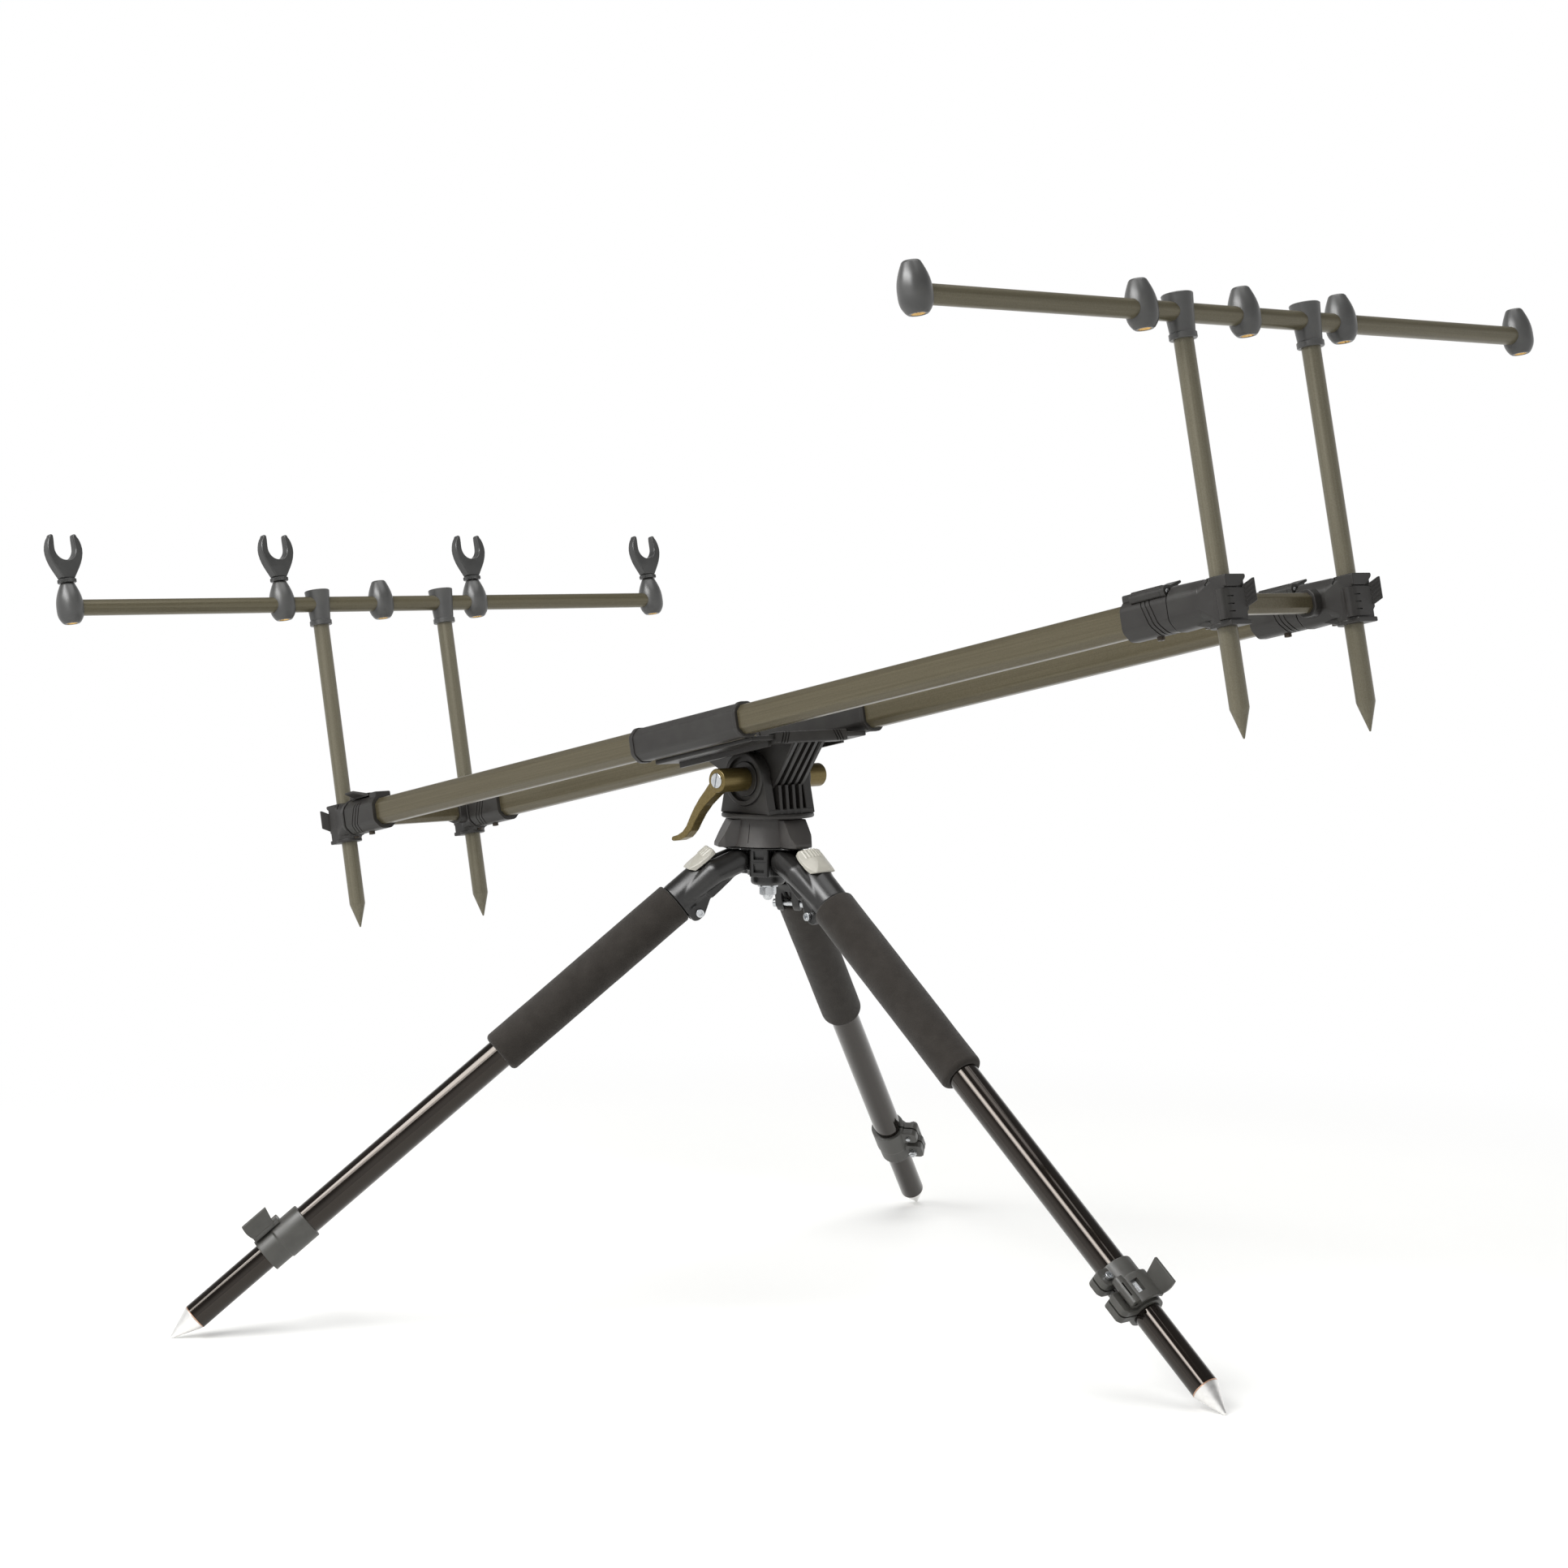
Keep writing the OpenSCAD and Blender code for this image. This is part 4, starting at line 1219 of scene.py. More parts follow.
@dataclass
class Hub:
    """Hub of the legs, its bolts and the skirt above it, in a level frame at the leg pivots."""

    legs: tuple[float, float, float] = (240.0, 0.0, 120.0)
    pivot_r: float = 31.0
    pin_r: float = 4.0
    bolt_r: float = 5.0
    spigot_r: float = 14.0
    top: Pair = (11.7, 13.2)
    skirt_span: Pair = (13.3, 39.8)

    def around(self, master: Stock, turn: float = 0.0) -> Stock:
        """Three copies of work, turned to the legs' directions, in one mesh.

        Args:
            master: The work, which is used up.
            turn: Angle in degrees from each leg's direction.

        Returns:
            The copies.
        """
        first, *others = [master.copy().swing(angle + turn, Axis.Z) for angle in self.legs]
        master.scrap()
        return first.join(*others)

    def body(self) -> Stock:
        """Moulded hub with pivot lugs, a pocketed face between each two legs and a rim on top.

        Returns:
            The hub.
        """
        core = Stock.turned([
            (0, -23.4), (12, -23.4), (14.6, -22.6), (16, -20.6), (16, -14), (19, -14), (19, self.top[1]),
            (0, self.top[1]),
        ])
        lug = Stock.block((0, -7, -9), (self.pivot_r, 7, 9)).join(
            Stock.rod(9, -7, 7, Axis.Y, (self.pivot_r, 0)))
        face = Stock.prism([(0, -9.6), (27, -9.6), (29, -7.6), (29, 7.6), (27, 9.6), (0, 9.6)],
                           -14, self.top[1], corner=1)
        rim = Stock.rod(34.5, *self.top, sides=FINE)
        brow = Stock.prism([(0, -17), (38, -17), (42, -12), (42, 12), (38, 17), (0, 17)], *self.top, corner=2)
        core.join(rim, self.around(lug), self.around(face, 60), self.around(brow)).mould(0.6, 5)
        pockets = [Stock.prism([(25.2, z), (31, z), (31, z + 8), (27.6, z + 8)], -5, 5, Axis.Y)
                   for z in (-10.0, 2.0)]
        seam = Stock.block((28.4, -12, -0.35), (31, 12, 0.35))
        core.cut(*(self.around(tool, 60) for tool in (*pockets, seam)))
        pin = Stock.rod(self.pin_r + CLEAR, -30, 30, Axis.Y, (self.pivot_r, 0))
        return core.cut(self.around(pin), Stock.rod(self.bolt_r + CLEAR, -40, 40))

    def bolts(self) -> Stock:
        """Pivot pins, centre bolt with a domed end, washer and nut.

        Returns:
            The set, as one piece.
        """
        r = self.bolt_r
        pin = Stock.turned(bar_profile(self.pin_r, -15.4, 15.4, 0.7), Axis.Y, steps=48).shift(x=self.pivot_r)
        bolt = Stock.turned([(0, -38), *arc(4.9, 280, 360, 6, (0, -33.1)), (r, -33), (r, 23), (0, 23)])
        washer = Stock.turned(tube_profile(9.5, r + CLEAR, -25.2, -23.6, 0.3), closed=True)
        crown = Stock.turned([(0, -33), (6.7, -33), (8.1, -31.8), (8.1, -26.2), (6.9, -25.25), (0, -25.25)])
        nut = Stock.prism(hexagon(8), -33, -25.25).trim(crown)
        return self.around(pin).join(bolt, washer, nut)

    def skirt(self) -> Stock:
        """Hollow-sided skirt with a chamfered block over each leg.

        Returns:
            The skirt.
        """
        low, high = self.skirt_span
        cone = Stock.turned([
            (0, low + 0.6), (36.4, low + 0.6), (35, low + 6), (33.6, low + 13), (32.4, low + 21), (31.8, high),
            (0, high),
        ], steps=FINE)
        block = Stock.prism([
            (22, low), (49, low), (49, low + 3.4), (44, low + 12), (39.8, low + 20), (36.6, high - 0.8),
            (22, high - 0.8),
        ], -14, 14, Axis.Y)
        block.trim(Stock.prism([(20, -14), (44, -14), (49.5, -9.5), (49.5, 9.5), (44, 14), (20, 14)], 0, 60))
        block.ease(0.8, 2, 25)
        seam = Stock.block((30, -0.3, low + 1), (36.4, 0.3, high - 5)).swing(7, Axis.Y, (34, 0, 26))
        for angle in self.legs:
            cone.weld(block.copy().swing(angle, Axis.Z))
        block.scrap()
        return cone.cut(self.around(seam, 46), Stock.rod(self.spigot_r + CLEAR, high - 15, high + 1),
                        Stock.rod(self.bolt_r + CLEAR, 0, 60))

    def build(self, pod: Pod) -> None:
        """Fit the hub's pieces.

        Args:
            pod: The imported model.
        """
        where = pod.level(pod.point("left_leg_fold").z)
        pod.fit(self.body(), "hub_moulding", where, BLACK_NYLON, "tripod_head", ["leg_hub"])
        pod.fit(self.bolts(), "hub_bolt_set", where, ZINC, "tripod_head", ["hub_bolts"])
        pod.fit(self.skirt(), "hub_skirt", where, SKIRT_NYLON, "tripod_head", ["head_base"])


@dataclass
class TiltHead:
    """Swivel yoke, tilt bolt, clamp lever and the saddle that carries the rails."""

    cheek: Pair = (19.35, 32.0)
    flange_z: float = -36.0
    flange_r: float = 43.0
    spigot_r: float = 14.0
    base_half: float = 33.0
    plate_pitch: float = 8.5
    plate_t: float = 3.8
    bolt_r: float = 6.0
    barrel_r: float = 11.0
    sleeve: Pair = (-79.0, 69.0)
    lever_path: tuple[Triple, ...] = (
        (-4, -4, 7.0), (-14, -13, 5.6), (-23, -21, 4.8), (-30.5, -29.5, 4.3), (-36.5, -38, 3.9),
        (-41.5, -46, 3.6), (-48, -52.3, 3.2), (-56, -55.8, 2.7), (-63, -57.2, 2.2),
    )

    def swivel_yoke(self) -> Stock:
        """Turntable with two cheeks and four inner plates.

        Returns:
            The yoke.
        """
        low, half, r = self.flange_z, self.base_half, self.flange_r
        start, stop = self.cheek
        whole = Stock.turned([
            (0, low), (r - 0.8, low), (r, low + 0.8), (r, low + 2.6), (r - 1.4, low + 4), (0, low + 4),
        ], steps=FINE)
        whole.weld(Stock.rod(self.spigot_r, low - 14, low + 1),
                   Stock.block((-half + 0.4, -28.9, low + 3), (half - 0.4, 28.9, low + 9)).ease(1.5, 3))
        outline = [(-half, low + 4), (half, low + 4), *arc(25.5, 4.5, 175.5, 36)]
        for side in (-1, 1):
            cheek = Stock.prism(outline, start, stop - 2.6, Axis.Y).ease(1.0, 3, 40)
            cheek.cut(Stock.rod(20.6, stop - 4, 40, Axis.Y, sides=FINE))
            for profile in (tube_profile(25.2, 20.6, stop - 6, stop, 1.7),
                            tube_profile(16.4, 6.2, stop - 6, stop - 2.2, 0.8)):
                cheek.weld(Stock.turned(profile, Axis.Y, closed=True, steps=FINE))
            whole.weld(cheek.flip_y() if side < 0 else cheek)
        inner = [(-half + 2, low + 4), (half, low + 4), (30, -5), *arc(20, -14.5, 171, 24)]
        for place in (-1.5, -0.5, 0.5, 1.5):
            y = place * self.plate_pitch
            plate = Stock.prism(inner, y - self.plate_t / 2, y + self.plate_t / 2, Axis.Y)
            whole.weld(plate.ease(0.5, 2, 40))
        return whole.cut(Stock.rod(self.bolt_r + CLEAR, -40, 40, Axis.Y))

    def far_cap(self) -> Stock:
        """Tilt bolt with its round cap on the far side."""
        cap = Stock.turned(bar_profile(self.barrel_r, 29.06, 66, 1.6), Axis.Y, steps=FINE)
        return cap.weld(Stock.turned(bar_profile(self.bolt_r, -63, 32, 0.4), Axis.Y, steps=64))

    def slotted_screw(self) -> Stock:
        """Slotted head at the near end of the tilt bolt."""
        head = Stock.turned(bar_profile(6.95, -65, -62.5, 0.7), Axis.Y, steps=64)
        return head.cut(Stock.block((-0.8, -66, -9), (0.8, -63.8, 9)).swing(12, Axis.Y))

    def clamp_lever(self) -> Stock:
        """Cast lever: a turned barrel with a bent arm that ends in a spoon.

        Returns:
            The lever.
        """
        stations = [Stock.rod(t, -62, -51, Axis.Y, (x, z), 32) for x, z, t in self.lever_path]
        arm = None
        for first, second in zip(stations, stations[1:]):
            link = first.copy().hull(second.copy())
            arm = link if arm is None else arm.join(link)
        for station in stations:
            station.scrap()
        arm.mould(0.6, 9)
        barrel = Stock.turned(bar_profile(self.barrel_r, -64, -29.4, 1.1), Axis.Y, steps=FINE)
        return arm.weld(barrel).cut(Stock.rod(self.bolt_r + CLEAR, -80, -20, Axis.Y),
                                    Stock.rod(7.06, -80, -62.44, Axis.Y))

    def saddle(self) -> Stock:
        """Two rail sleeves on an underplate, with five hinge plates below it.

        Returns:
            The saddle.
        """
        plate = Stock.block((-72, -72, 26.5), (64, 72, 31)).ease(1.2, 3)
        for y in (-46, 46):
            plate.weld(Stock.block((-66, y - 2, 21.5), (58, y + 2, 27.5)).ease(0.6))
        panel = Stock.block((56, -45, 23), (67, 45, 33.5)).ease(1.4, 3)
        for side in (-1, 1):
            for step in (30, 33.5, 37):
                y = side * step
                groove = Stock.block((66, y - 0.7, 20), (70, y + 0.7, 40))
                panel.cut(groove.swing(24 * side, Axis.X, (0, y, 28)))
        plate.weld(panel)
        fin = [(-60, 27.5), (65.4, 27.5), (65.4, 25.5), (29, -9), (10, -20), (-20, -12), (-23, 0)]
        leaf = Stock.prism(fin, -self.plate_t / 2, self.plate_t / 2, Axis.Y)
        leaf.weld(Stock.rod(24, -self.plate_t / 2, self.plate_t / 2, Axis.Y, sides=FINE)).ease(0.45, 2, 40)
        for i in (-2, -1, 0, 1, 2):
            plate.weld(leaf.copy().shift(y=i * self.plate_pitch))
        leaf.scrap()
        for side in Side:
            sleeve = Stock.prism(rail_outline(2), *self.sleeve, Axis.X, corner=2.2).ease(0.8, 2, 40)
            plate.weld(sleeve.shift(y=side.across, z=RAIL_RISE))
            for start in (self.sleeve[0] - 0.4, self.sleeve[1] - 4.6):
                lip = Stock.prism(rail_outline(3), start, start + 5, Axis.X, corner=2.6).ease(0.7, 2, 40)
                plate.weld(lip.shift(y=side.across, z=RAIL_RISE))
        for side in Side:
            plate.cut(Stock.prism(rail_outline(CLEAR), -100, 100, Axis.X).shift(y=side.across, z=RAIL_RISE))
        return plate.cut(Stock.rod(self.bolt_r + CLEAR, -40, 40, Axis.Y))

    def build(self, pod: Pod) -> None:
        """Fit the head's pieces.

        Args:
            pod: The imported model.
        """
        where = pod.level(pod.point("beam_tilt").z)
        pod.fit(self.swivel_yoke(), "turntable_yoke", where, GREY_NYLON, "swivel", ["swivel_yoke"])
        pod.fit(self.far_cap(), "tilt_bolt_cap", where, CAST_LEVER, "swivel", ["tilt_bolt"])
        pod.fit(self.slotted_screw(), "tilt_bolt_screw", where, ZINC, "swivel")
        pod.fit(self.clamp_lever(), "cast_clamp_lever", where, CAST_LEVER, "tilt_clamp", ["clamp_lever"])
        pod.fit(self.saddle(), "saddle_moulding", pod.beam(), GREY_NYLON, "beam", ["saddle"])


@dataclass
class RailSet:
    """Rails with their lock collars, and the sliding ends that hold the sticks."""

    neck: dict[End, float] = field(default_factory=lambda: {End.FRONT: 44.0, End.REAR: 17.0})
    crossbar_x: dict[End, float] = field(default_factory=lambda: {End.FRONT: -27.0, End.REAR: -5.0})
    neck_screw_x: dict[End, float] = field(default_factory=lambda: {End.FRONT: -18.0, End.REAR: -13.0})
    collar_screw_x: float = -24.0
    rail_span: Pair = (-533.6, 583.6)
    slide_len: float = 300.0
    collar_len: float = 50.0
    hinge: Pair = (-11.5, 15.4)
    lever_x: Pair = (-38.0, -6.0)
    clamp_z: Pair = (-23.0, 17.0)
    clamp_r: float = 12.5
    stick_hinge: Pair = (9.0, -12.0)
    lever_z: Pair = (-18.0, 6.0)
    stick_bore: float = 8.06

    def spot(self, pod: Pod, end: End, side: Side) -> Matrix:
        """Frame of a fitting: X outwards along its rail, origin on the axes of its stick and rail."""
        return pod.beam() @ Matrix.Translation((end.reach, side.across, RAIL_RISE)) @ end.turn

    def rails(self) -> Stock:
        """Pair of eight-sided tubes.

        Returns:
            The pair.
        """
        rail = Stock.prism(rail_outline(0), *self.rail_span, Axis.X, corner=1.7, steps=5).bored(2.0, Axis.X)
        twin = rail.copy().shift(y=Side.FAR.across, z=RAIL_RISE)
        return rail.shift(y=Side.NEAR.across, z=RAIL_RISE).join(twin)

    def slide_tube(self, end: End) -> Stock:
        """Tube that slides in a rail.

        Args:
            end: End of the rails.

        Returns:
            The tube.
        """
        neck = self.neck[end]
        tube = Stock.prism(rail_outline(-2.4), -neck - self.slide_len, -neck / 2 - 4, Axis.X, corner=0.8)
        return tube.bored(1.8, Axis.X)

    def crossbar(self, end: End) -> Stock:
        """Eight-sided bar between the two end blocks."""
        bar = Stock.prism(octagon(15, 16.5, 4), -69, 69, Axis.Y, corner=0.8)
        return bar.bored(1.6, Axis.Y).shift(x=self.crossbar_x[end])

    def collar(self) -> Stock:
        """Lock collar of a rail, from the parting line back, with three slanted grooves.

        Returns:
            The collar.
        """
        body = Stock.prism(rail_outline(4), -self.collar_len, -1.3, Axis.X, corner=3.0, steps=5)
        pad = Stock.block((-self.collar_len, -10.5, 14), (self.lever_x[0] - 0.6, 9, 20.4)).ease(1.4, 3)
        boss = Stock.rod(4.6, self.lever_x[1] + 0.5, -0.8, Axis.X, self.hinge)
        body.weld(pad, boss).ease(0.9, 3, 40)
        grooves = [Stock.block((x - 0.6, -30, -26), (x + 0.6, 30, 13)).swing(-20, Axis.Y, (x, 0, -6))
                   for x in (-22.0, -17.5, -13.0)]
        tool = grooves[0].join(*grooves[1:]).cut(Stock.prism(rail_outline(3.2), -60, 10, Axis.X, corner=2.6))
        return body.cut(
            tool, Stock.prism(rail_outline(CLEAR), -self.collar_len - 1, -2.3, Axis.X),
            Stock.prism(rail_outline(-1.9), -10, 1, Axis.X),
            Stock.rod(4.6, self.lever_x[0] - 0.4, self.lever_x[1] + 0.4, Axis.X, self.hinge))

    def collar_pin(self) -> Stock:
        """Bright end of the lever's hinge pin."""
        y, z = self.hinge
        return Stock.turned(bar_profile(1.7, -5, -0.45, 0.4), Axis.X, steps=32).shift(y=y, z=z)

    def underscrew(self) -> Stock:
        """Socket screw under a fitting."""
        head = Stock.turned(bar_profile(3.1, -20.6, -14, 0.5), steps=48)
        return head.cut(Stock.prism(hexagon(1.6), -22, -19))

    def rail_lever(self) -> Stock:
        """Flip lever of a rail lock: a plate on a hinge, with a pointed thumb tab.

        Returns:
            The lever.
        """
        y, z = self.hinge
        plate = Stock.prism([(y - 2, z + 3), (y + 4, 17.9), (9, 17.9), (9, 20.9), (y, 20.9)],
                            *self.lever_x, Axis.X)
        plate.weld(Stock.rod(4.2, *self.lever_x, Axis.X, self.hinge))
        tab = Stock.block((-32, 4, 18.4), (-13, 9, 20.9)).hull(
            Stock.rod(1.1, -22, -9, Axis.X, (15.6, 24.2), 24))
        return plate.weld(tab).ease(0.55, 2, 40)

    def end_block(self, end: End, inner: int) -> Stock:
        """End block: neck, stick clamp, socket of the crossbar and borders round the lever.

        Args:
            end: End of the rails.
            inner: Side of the other rail in the fitting's own frame, 1 or -1.

        Returns:
            The block.
        """
        neck, r, (low, high) = self.neck[end], self.clamp_r, self.clamp_z
        body = Stock.prism(rail_outline(5.2), -neck, 1 - neck, Axis.X, corner=4.0, steps=6).hull(
            Stock.prism(rail_outline(4.4), -13, -12, Axis.X, corner=3.6, steps=6)).ease(0.9, 3, 40)
        root = Stock.prism(rail_outline(4.2), -13.5, -12.5, Axis.X, corner=3.6, steps=6).hull(
            Stock.rod(r - 0.2, -16, high - 3.2, sides=64))
        body.weld(
            Stock.turned([(0, low), (r - 0.8, low), (r, low + 0.8), (r, high - 3), (r - 0.9, high - 2.4),
                          (r - 0.9, high - 0.6), (r - 1.6, high), (0, high)], steps=FINE),
            Stock.block((0, -r, low), (13, r, high)).ease(1.2, 3),
            Stock.block((11, -r, low), (15.4, r, self.lever_z[0] - 1.1)).ease(0.8, 2),
            Stock.prism([(-r, 7.1), (4, 7.1), (r, 14), (r, high), (-r, high)],
                        11, 15.4, Axis.X, corner=1.4).ease(0.9, 3),
            Stock.turned(bar_profile(r + 0.8, low + 0.1, low + 3.5, 0.9), steps=FINE), root,
            Stock.rod(r - 1, low + 1, low + 2.5, sides=64).hull(
                Stock.block((max(-26, 1 - neck), -7, -16.5), (-4, 7, -13))),
        )
        boss = Stock.prism(octagon(21, 22.5, 5.5), 11, 24, Axis.Y, corner=2, steps=4).ease(0.9, 3, 40)
        pocket = Stock.prism(octagon(15.12, 16.62, 4), 10.9, 40, Axis.Y)
        for work in (boss, pocket):
            work.shift(x=self.crossbar_x[end])
            if inner < 0:
                work.flip_y()
        flutes = [Stock.block((9.5, -0.7, high - 6), (15, 0.7, high + 1)).swing(angle, Axis.Z)
                  for angle in (110, 145, 180, 215, 250)]
        tool = flutes[0].join(*flutes[1:])
        return body.weld(boss).cut(
            pocket, tool, Stock.prism(rail_outline(-2.34), -neck - 1, -neck / 2 - 3.94, Axis.X),
            Stock.rod(self.stick_bore, -60, 60, sides=FINE),
            Stock.rod(4.8, self.lever_z[0] - 0.4, self.lever_z[1] + 0.4, at=self.stick_hinge))

    def stick_lever(self) -> Stock:
        """Flip lever of a stick clamp: a plate on a hinge, with a ridged thumb tab.

        Returns:
            The lever.
        """
        (x, y), (low, high) = self.stick_hinge, self.lever_z
        plate = Stock.prism([(x + 3, y - 3), (15.4, -10), (15.4, 11), (13.4, 11), (13.4, -10)], low, high)
        plate.cut(Stock.prism([(12, low - 1), (12, low + 8), (3, low - 1)], 12, 17, Axis.X))
        plate.weld(Stock.rod(4.4, low, high, at=self.stick_hinge)).ease(0.45, 2, 40)
        for z in (low + 5.5, low + 11.5, low + 17.5):
            plate.cut(Stock.block((14, -18, z - 0.45), (20, -5.5, z + 0.45)))
        plate.weld(self.sloped((14.4, 8.6), (18.9, 16.9), 1.05, low + 8, 18))
        for i in range(5):
            plate.weld(self.sloped((15.9, 9.4), (19.4, 16.0), 0.65, low + 9.2 + 3.5 * i, 1.3))
        return plate

    @staticmethod
    def sloped(inner: Pair, outer: Pair, radius: float, low: float, height: float, climb: float = 5.0) -> Stock:
        """Leaf of a thumb tab that climbs towards its outer edge.

        Args:
            inner: Place of the inner edge in plan.
            outer: Place of the outer edge in plan.
            radius: Radius of both edges.
            low: Lowest place of the inner edge.
            height: Height of both edges.
            climb: Rise of the outer edge over the inner one.

        Returns:
            The leaf.
        """
        first, second = (
            Stock.turned(bar_profile(radius, start, start + height, 0.3), steps=24).shift(*edge)
            for edge, start in ((inner, low), (outer, low + climb)))
        return first.hull(second)

    def build(self, pod: Pod) -> None:
        """Fit the rails, their locks and the sliding ends.

        Args:
            pod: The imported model.
        """
        beam = pod.beam()
        into_beam = beam.inverted()
        pod.fit(self.rails(), "rail_pair", beam, RAIL_TUBE, "beam", ["rails"])
        masters = collar, lever, pin, stick_lever, screw = (
            self.collar(), self.rail_lever(), self.collar_pin(), self.stick_lever(), self.underscrew())
        collars: list[Stock] = []
        for end in End:
            carriage = f"{end.label}_carriage"
            tubes: list[Stock] = []
            blocks: list[Stock] = []
            for side in Side:
                label = f"{end.label}_{side.label}"
                where = self.spot(pod, end, side)
                parting = where @ Matrix.Translation((-self.neck[end], 0, 0))
                inner = 1 if (side is Side.NEAR) == (end is End.FRONT) else -1
                collars.append(collar.copy().move(into_beam @ parting))
                pod.fit(lever.copy(), f"{label}_rail_flip_lever", parting, GREY_NYLON, f"{label}_rail_lock",
                        [f"{label}_rail_lever"])
                pod.fit(pin.copy(), f"{label}_rail_hinge_pin", parting, ZINC, "beam")
                pod.fit(screw.copy().shift(x=self.collar_screw_x), f"{label}_collar_screw", parting, DARK_SCREW,
                        "beam")
                blocks.append(self.end_block(end, inner).move(into_beam @ where))
                tubes.append(self.slide_tube(end).move(into_beam @ where))
                pod.fit(stick_lever.copy(), f"{label}_stick_flip_lever", where, GREY_NYLON,
                        f"{label}_stick_lock", [f"{label}_stick_lever"])
                pod.fit(screw.copy().shift(x=self.neck_screw_x[end]), f"{label}_neck_screw", where, DARK_SCREW,
                        carriage)
            cross = self.crossbar(end).move(Matrix.Translation((end.reach, 0, RAIL_RISE)) @ end.turn)
            pod.fit(tubes[0].join(tubes[1], cross), f"{end.label}_slide_set", beam, RAIL_TUBE, carriage,
                    [f"{end.label}_slide_tubes"])
            pod.fit(blocks[0].join(blocks[1]), f"{end.label}_block_pair", beam, GREY_NYLON, carriage,
                    [f"{end.label}_end_blocks"])
        pod.fit(collars[0].join(*collars[1:]), "rail_lock_collars", beam, GREY_NYLON, "beam", ["rail_collars"])
        for master in masters:
            master.scrap()


@dataclass
class GoalPost:
    """Two sticks, a long bar with threaded stations and tees, and the rod rests of the rear bar."""

    rise: dict[End, float] = field(default_factory=lambda: {End.FRONT: 275.0, End.REAR: 272.0})
    tube_r: float = 8.0
    wall: float = 1.4
    tip_z: float = -65.0
    point: float = 24.0
    bar_half: float = 383.0
    stations: tuple[float, ...] = (-375.0, -125.0, 0.0, 125.0, 375.0)
    rests: tuple[int, ...] = (0, 1, 3, 4)
    station_r: float = 13.3
    station_span: Pair = (-15.7, 24.0)
    insert_r: float = 5.6
    stud_r: float = 4.05
    ring_h: float = 4.0
    thread_r: float = 4.15
    throat_r: float = 11.5
    throat_rise: float = 30.1
    fork_t: float = 12.0
    tip: Pair = (13.0, 42.2)
    tip_r: float = 2.1
    flank: tuple[Pair, ...] = (
        (6.6, 0.0), (7.6, 2.0), (9.8, 5.5), (12.6, 10.0), (15.5, 15.0), (17.7, 20.0), (19.1, 25.0),
        (19.5, 29.0), (19.1, 33.0), (18.2, 36.6), (16.8, 39.8), (15.6, 41.4),
    )
    claw: tuple[Pair, ...] = ((10.9, 39.5), (11.1, 36.5), (11.4, 33.2))

    def sticks(self, end: End) -> Stock:
        """Pair of tubes, each closed by a long point like a pencil's.

        Args:
            end: End of the rails.

        Returns:
            The pair.
        """
        top, r = self.rise[end] - self.tube_r - 0.5, self.tube_r
        shoulder = self.tip_z + self.point
        stick = Stock.turned([
            (0, self.tip_z), (0.7, self.tip_z + 0.25), (r - 0.25, shoulder - 0.7), (r, shoulder + 0.4),
            (r, top - 0.4), (r - 0.4, top), (r - self.wall, top), (r - self.wall, shoulder + 4),
            (0, shoulder + 4),
        ]).shift(x=end.reach)
        twin = stick.copy().shift(y=Side.FAR.across)
        return stick.shift(y=Side.NEAR.across).join(twin)

    def bar(self) -> Stock:
        """Long tube with a hole at each station.

        Returns:
            The bar.
        """
        r, half = self.tube_r, self.bar_half
        tube = Stock.turned(tube_profile(r, r - self.wall, -half, half, 0.4), Axis.Y, closed=True)
        return tube.cut(*(Stock.rod(self.insert_r + CLEAR, -20, 20, at=(0, y)) for y in self.stations))

    def swell(self, z: float) -> float:
        """Radius of a station at a height: a smooth swell that is widest at the bar.

        Args:
            z: Height over the bar's axis.

        Returns:
            The radius.
        """
        low, high = self.station_span
        if z > 0:
            return 6.9 + (self.station_r - 6.9) * math.cos(math.pi / 2 * (z / high) ** 1.15)
        return 8.0 + (self.station_r - 8.0) * math.cos(math.pi / 2 * (z / low) ** 1.6)

    def station(self) -> Stock:
        """Swollen boss of a station, without its bores.

        Returns:
            The boss.
        """
        low, high = self.station_span
        heights = [low + (high - low) * i / 40 for i in range(1, 40)]
        profile = [(0, low), (self.swell(low) - 0.5, low), *((self.swell(z), z) for z in heights),
                   (self.swell(high) - 0.6, high), (0, high)]
        return Stock.turned(profile).cut(Stock.rod(self.insert_r + CLEAR, -60, 60))

    def fittings(self) -> Stock:
        """Stations and tees of a bar.

        Returns:
            The set, as one piece.
        """
        made: list[Stock] = []
        boss, bore, stop = self.station(), self.tube_r + CLEAR, self.bar_half + CLEAR
        for y in self.stations:
            # The outermost stations close the bar's ends, so their bores stop there
            span = (max(-30, -stop - y), min(30, stop - y))
            # The cut is clean at the origin, and with 74 sides no edge of the bore meets an edge of the boss
            made.append(boss.copy().cut(Stock.rod(bore, *span, Axis.Y, sides=74)).shift(y=y))
        boss.scrap()
        tee = Stock.turned([
            (0, -22), (10.9, -22), (11.4, -21.5), (11.4, -17.4), (10.9, -16.9), (10.3, -16.6), (10.4, -16),
            (12.9, 13.8), (12.2, 14.5), (0, 14.5),
        ]).cut(Stock.rod(bore, -30, 30, Axis.Y), Stock.rod(bore, -23, -self.tube_r))
        made += [tee.copy().shift(y=side.across) for side in Side]
        tee.scrap()
        return made[0].join(*made[1:])

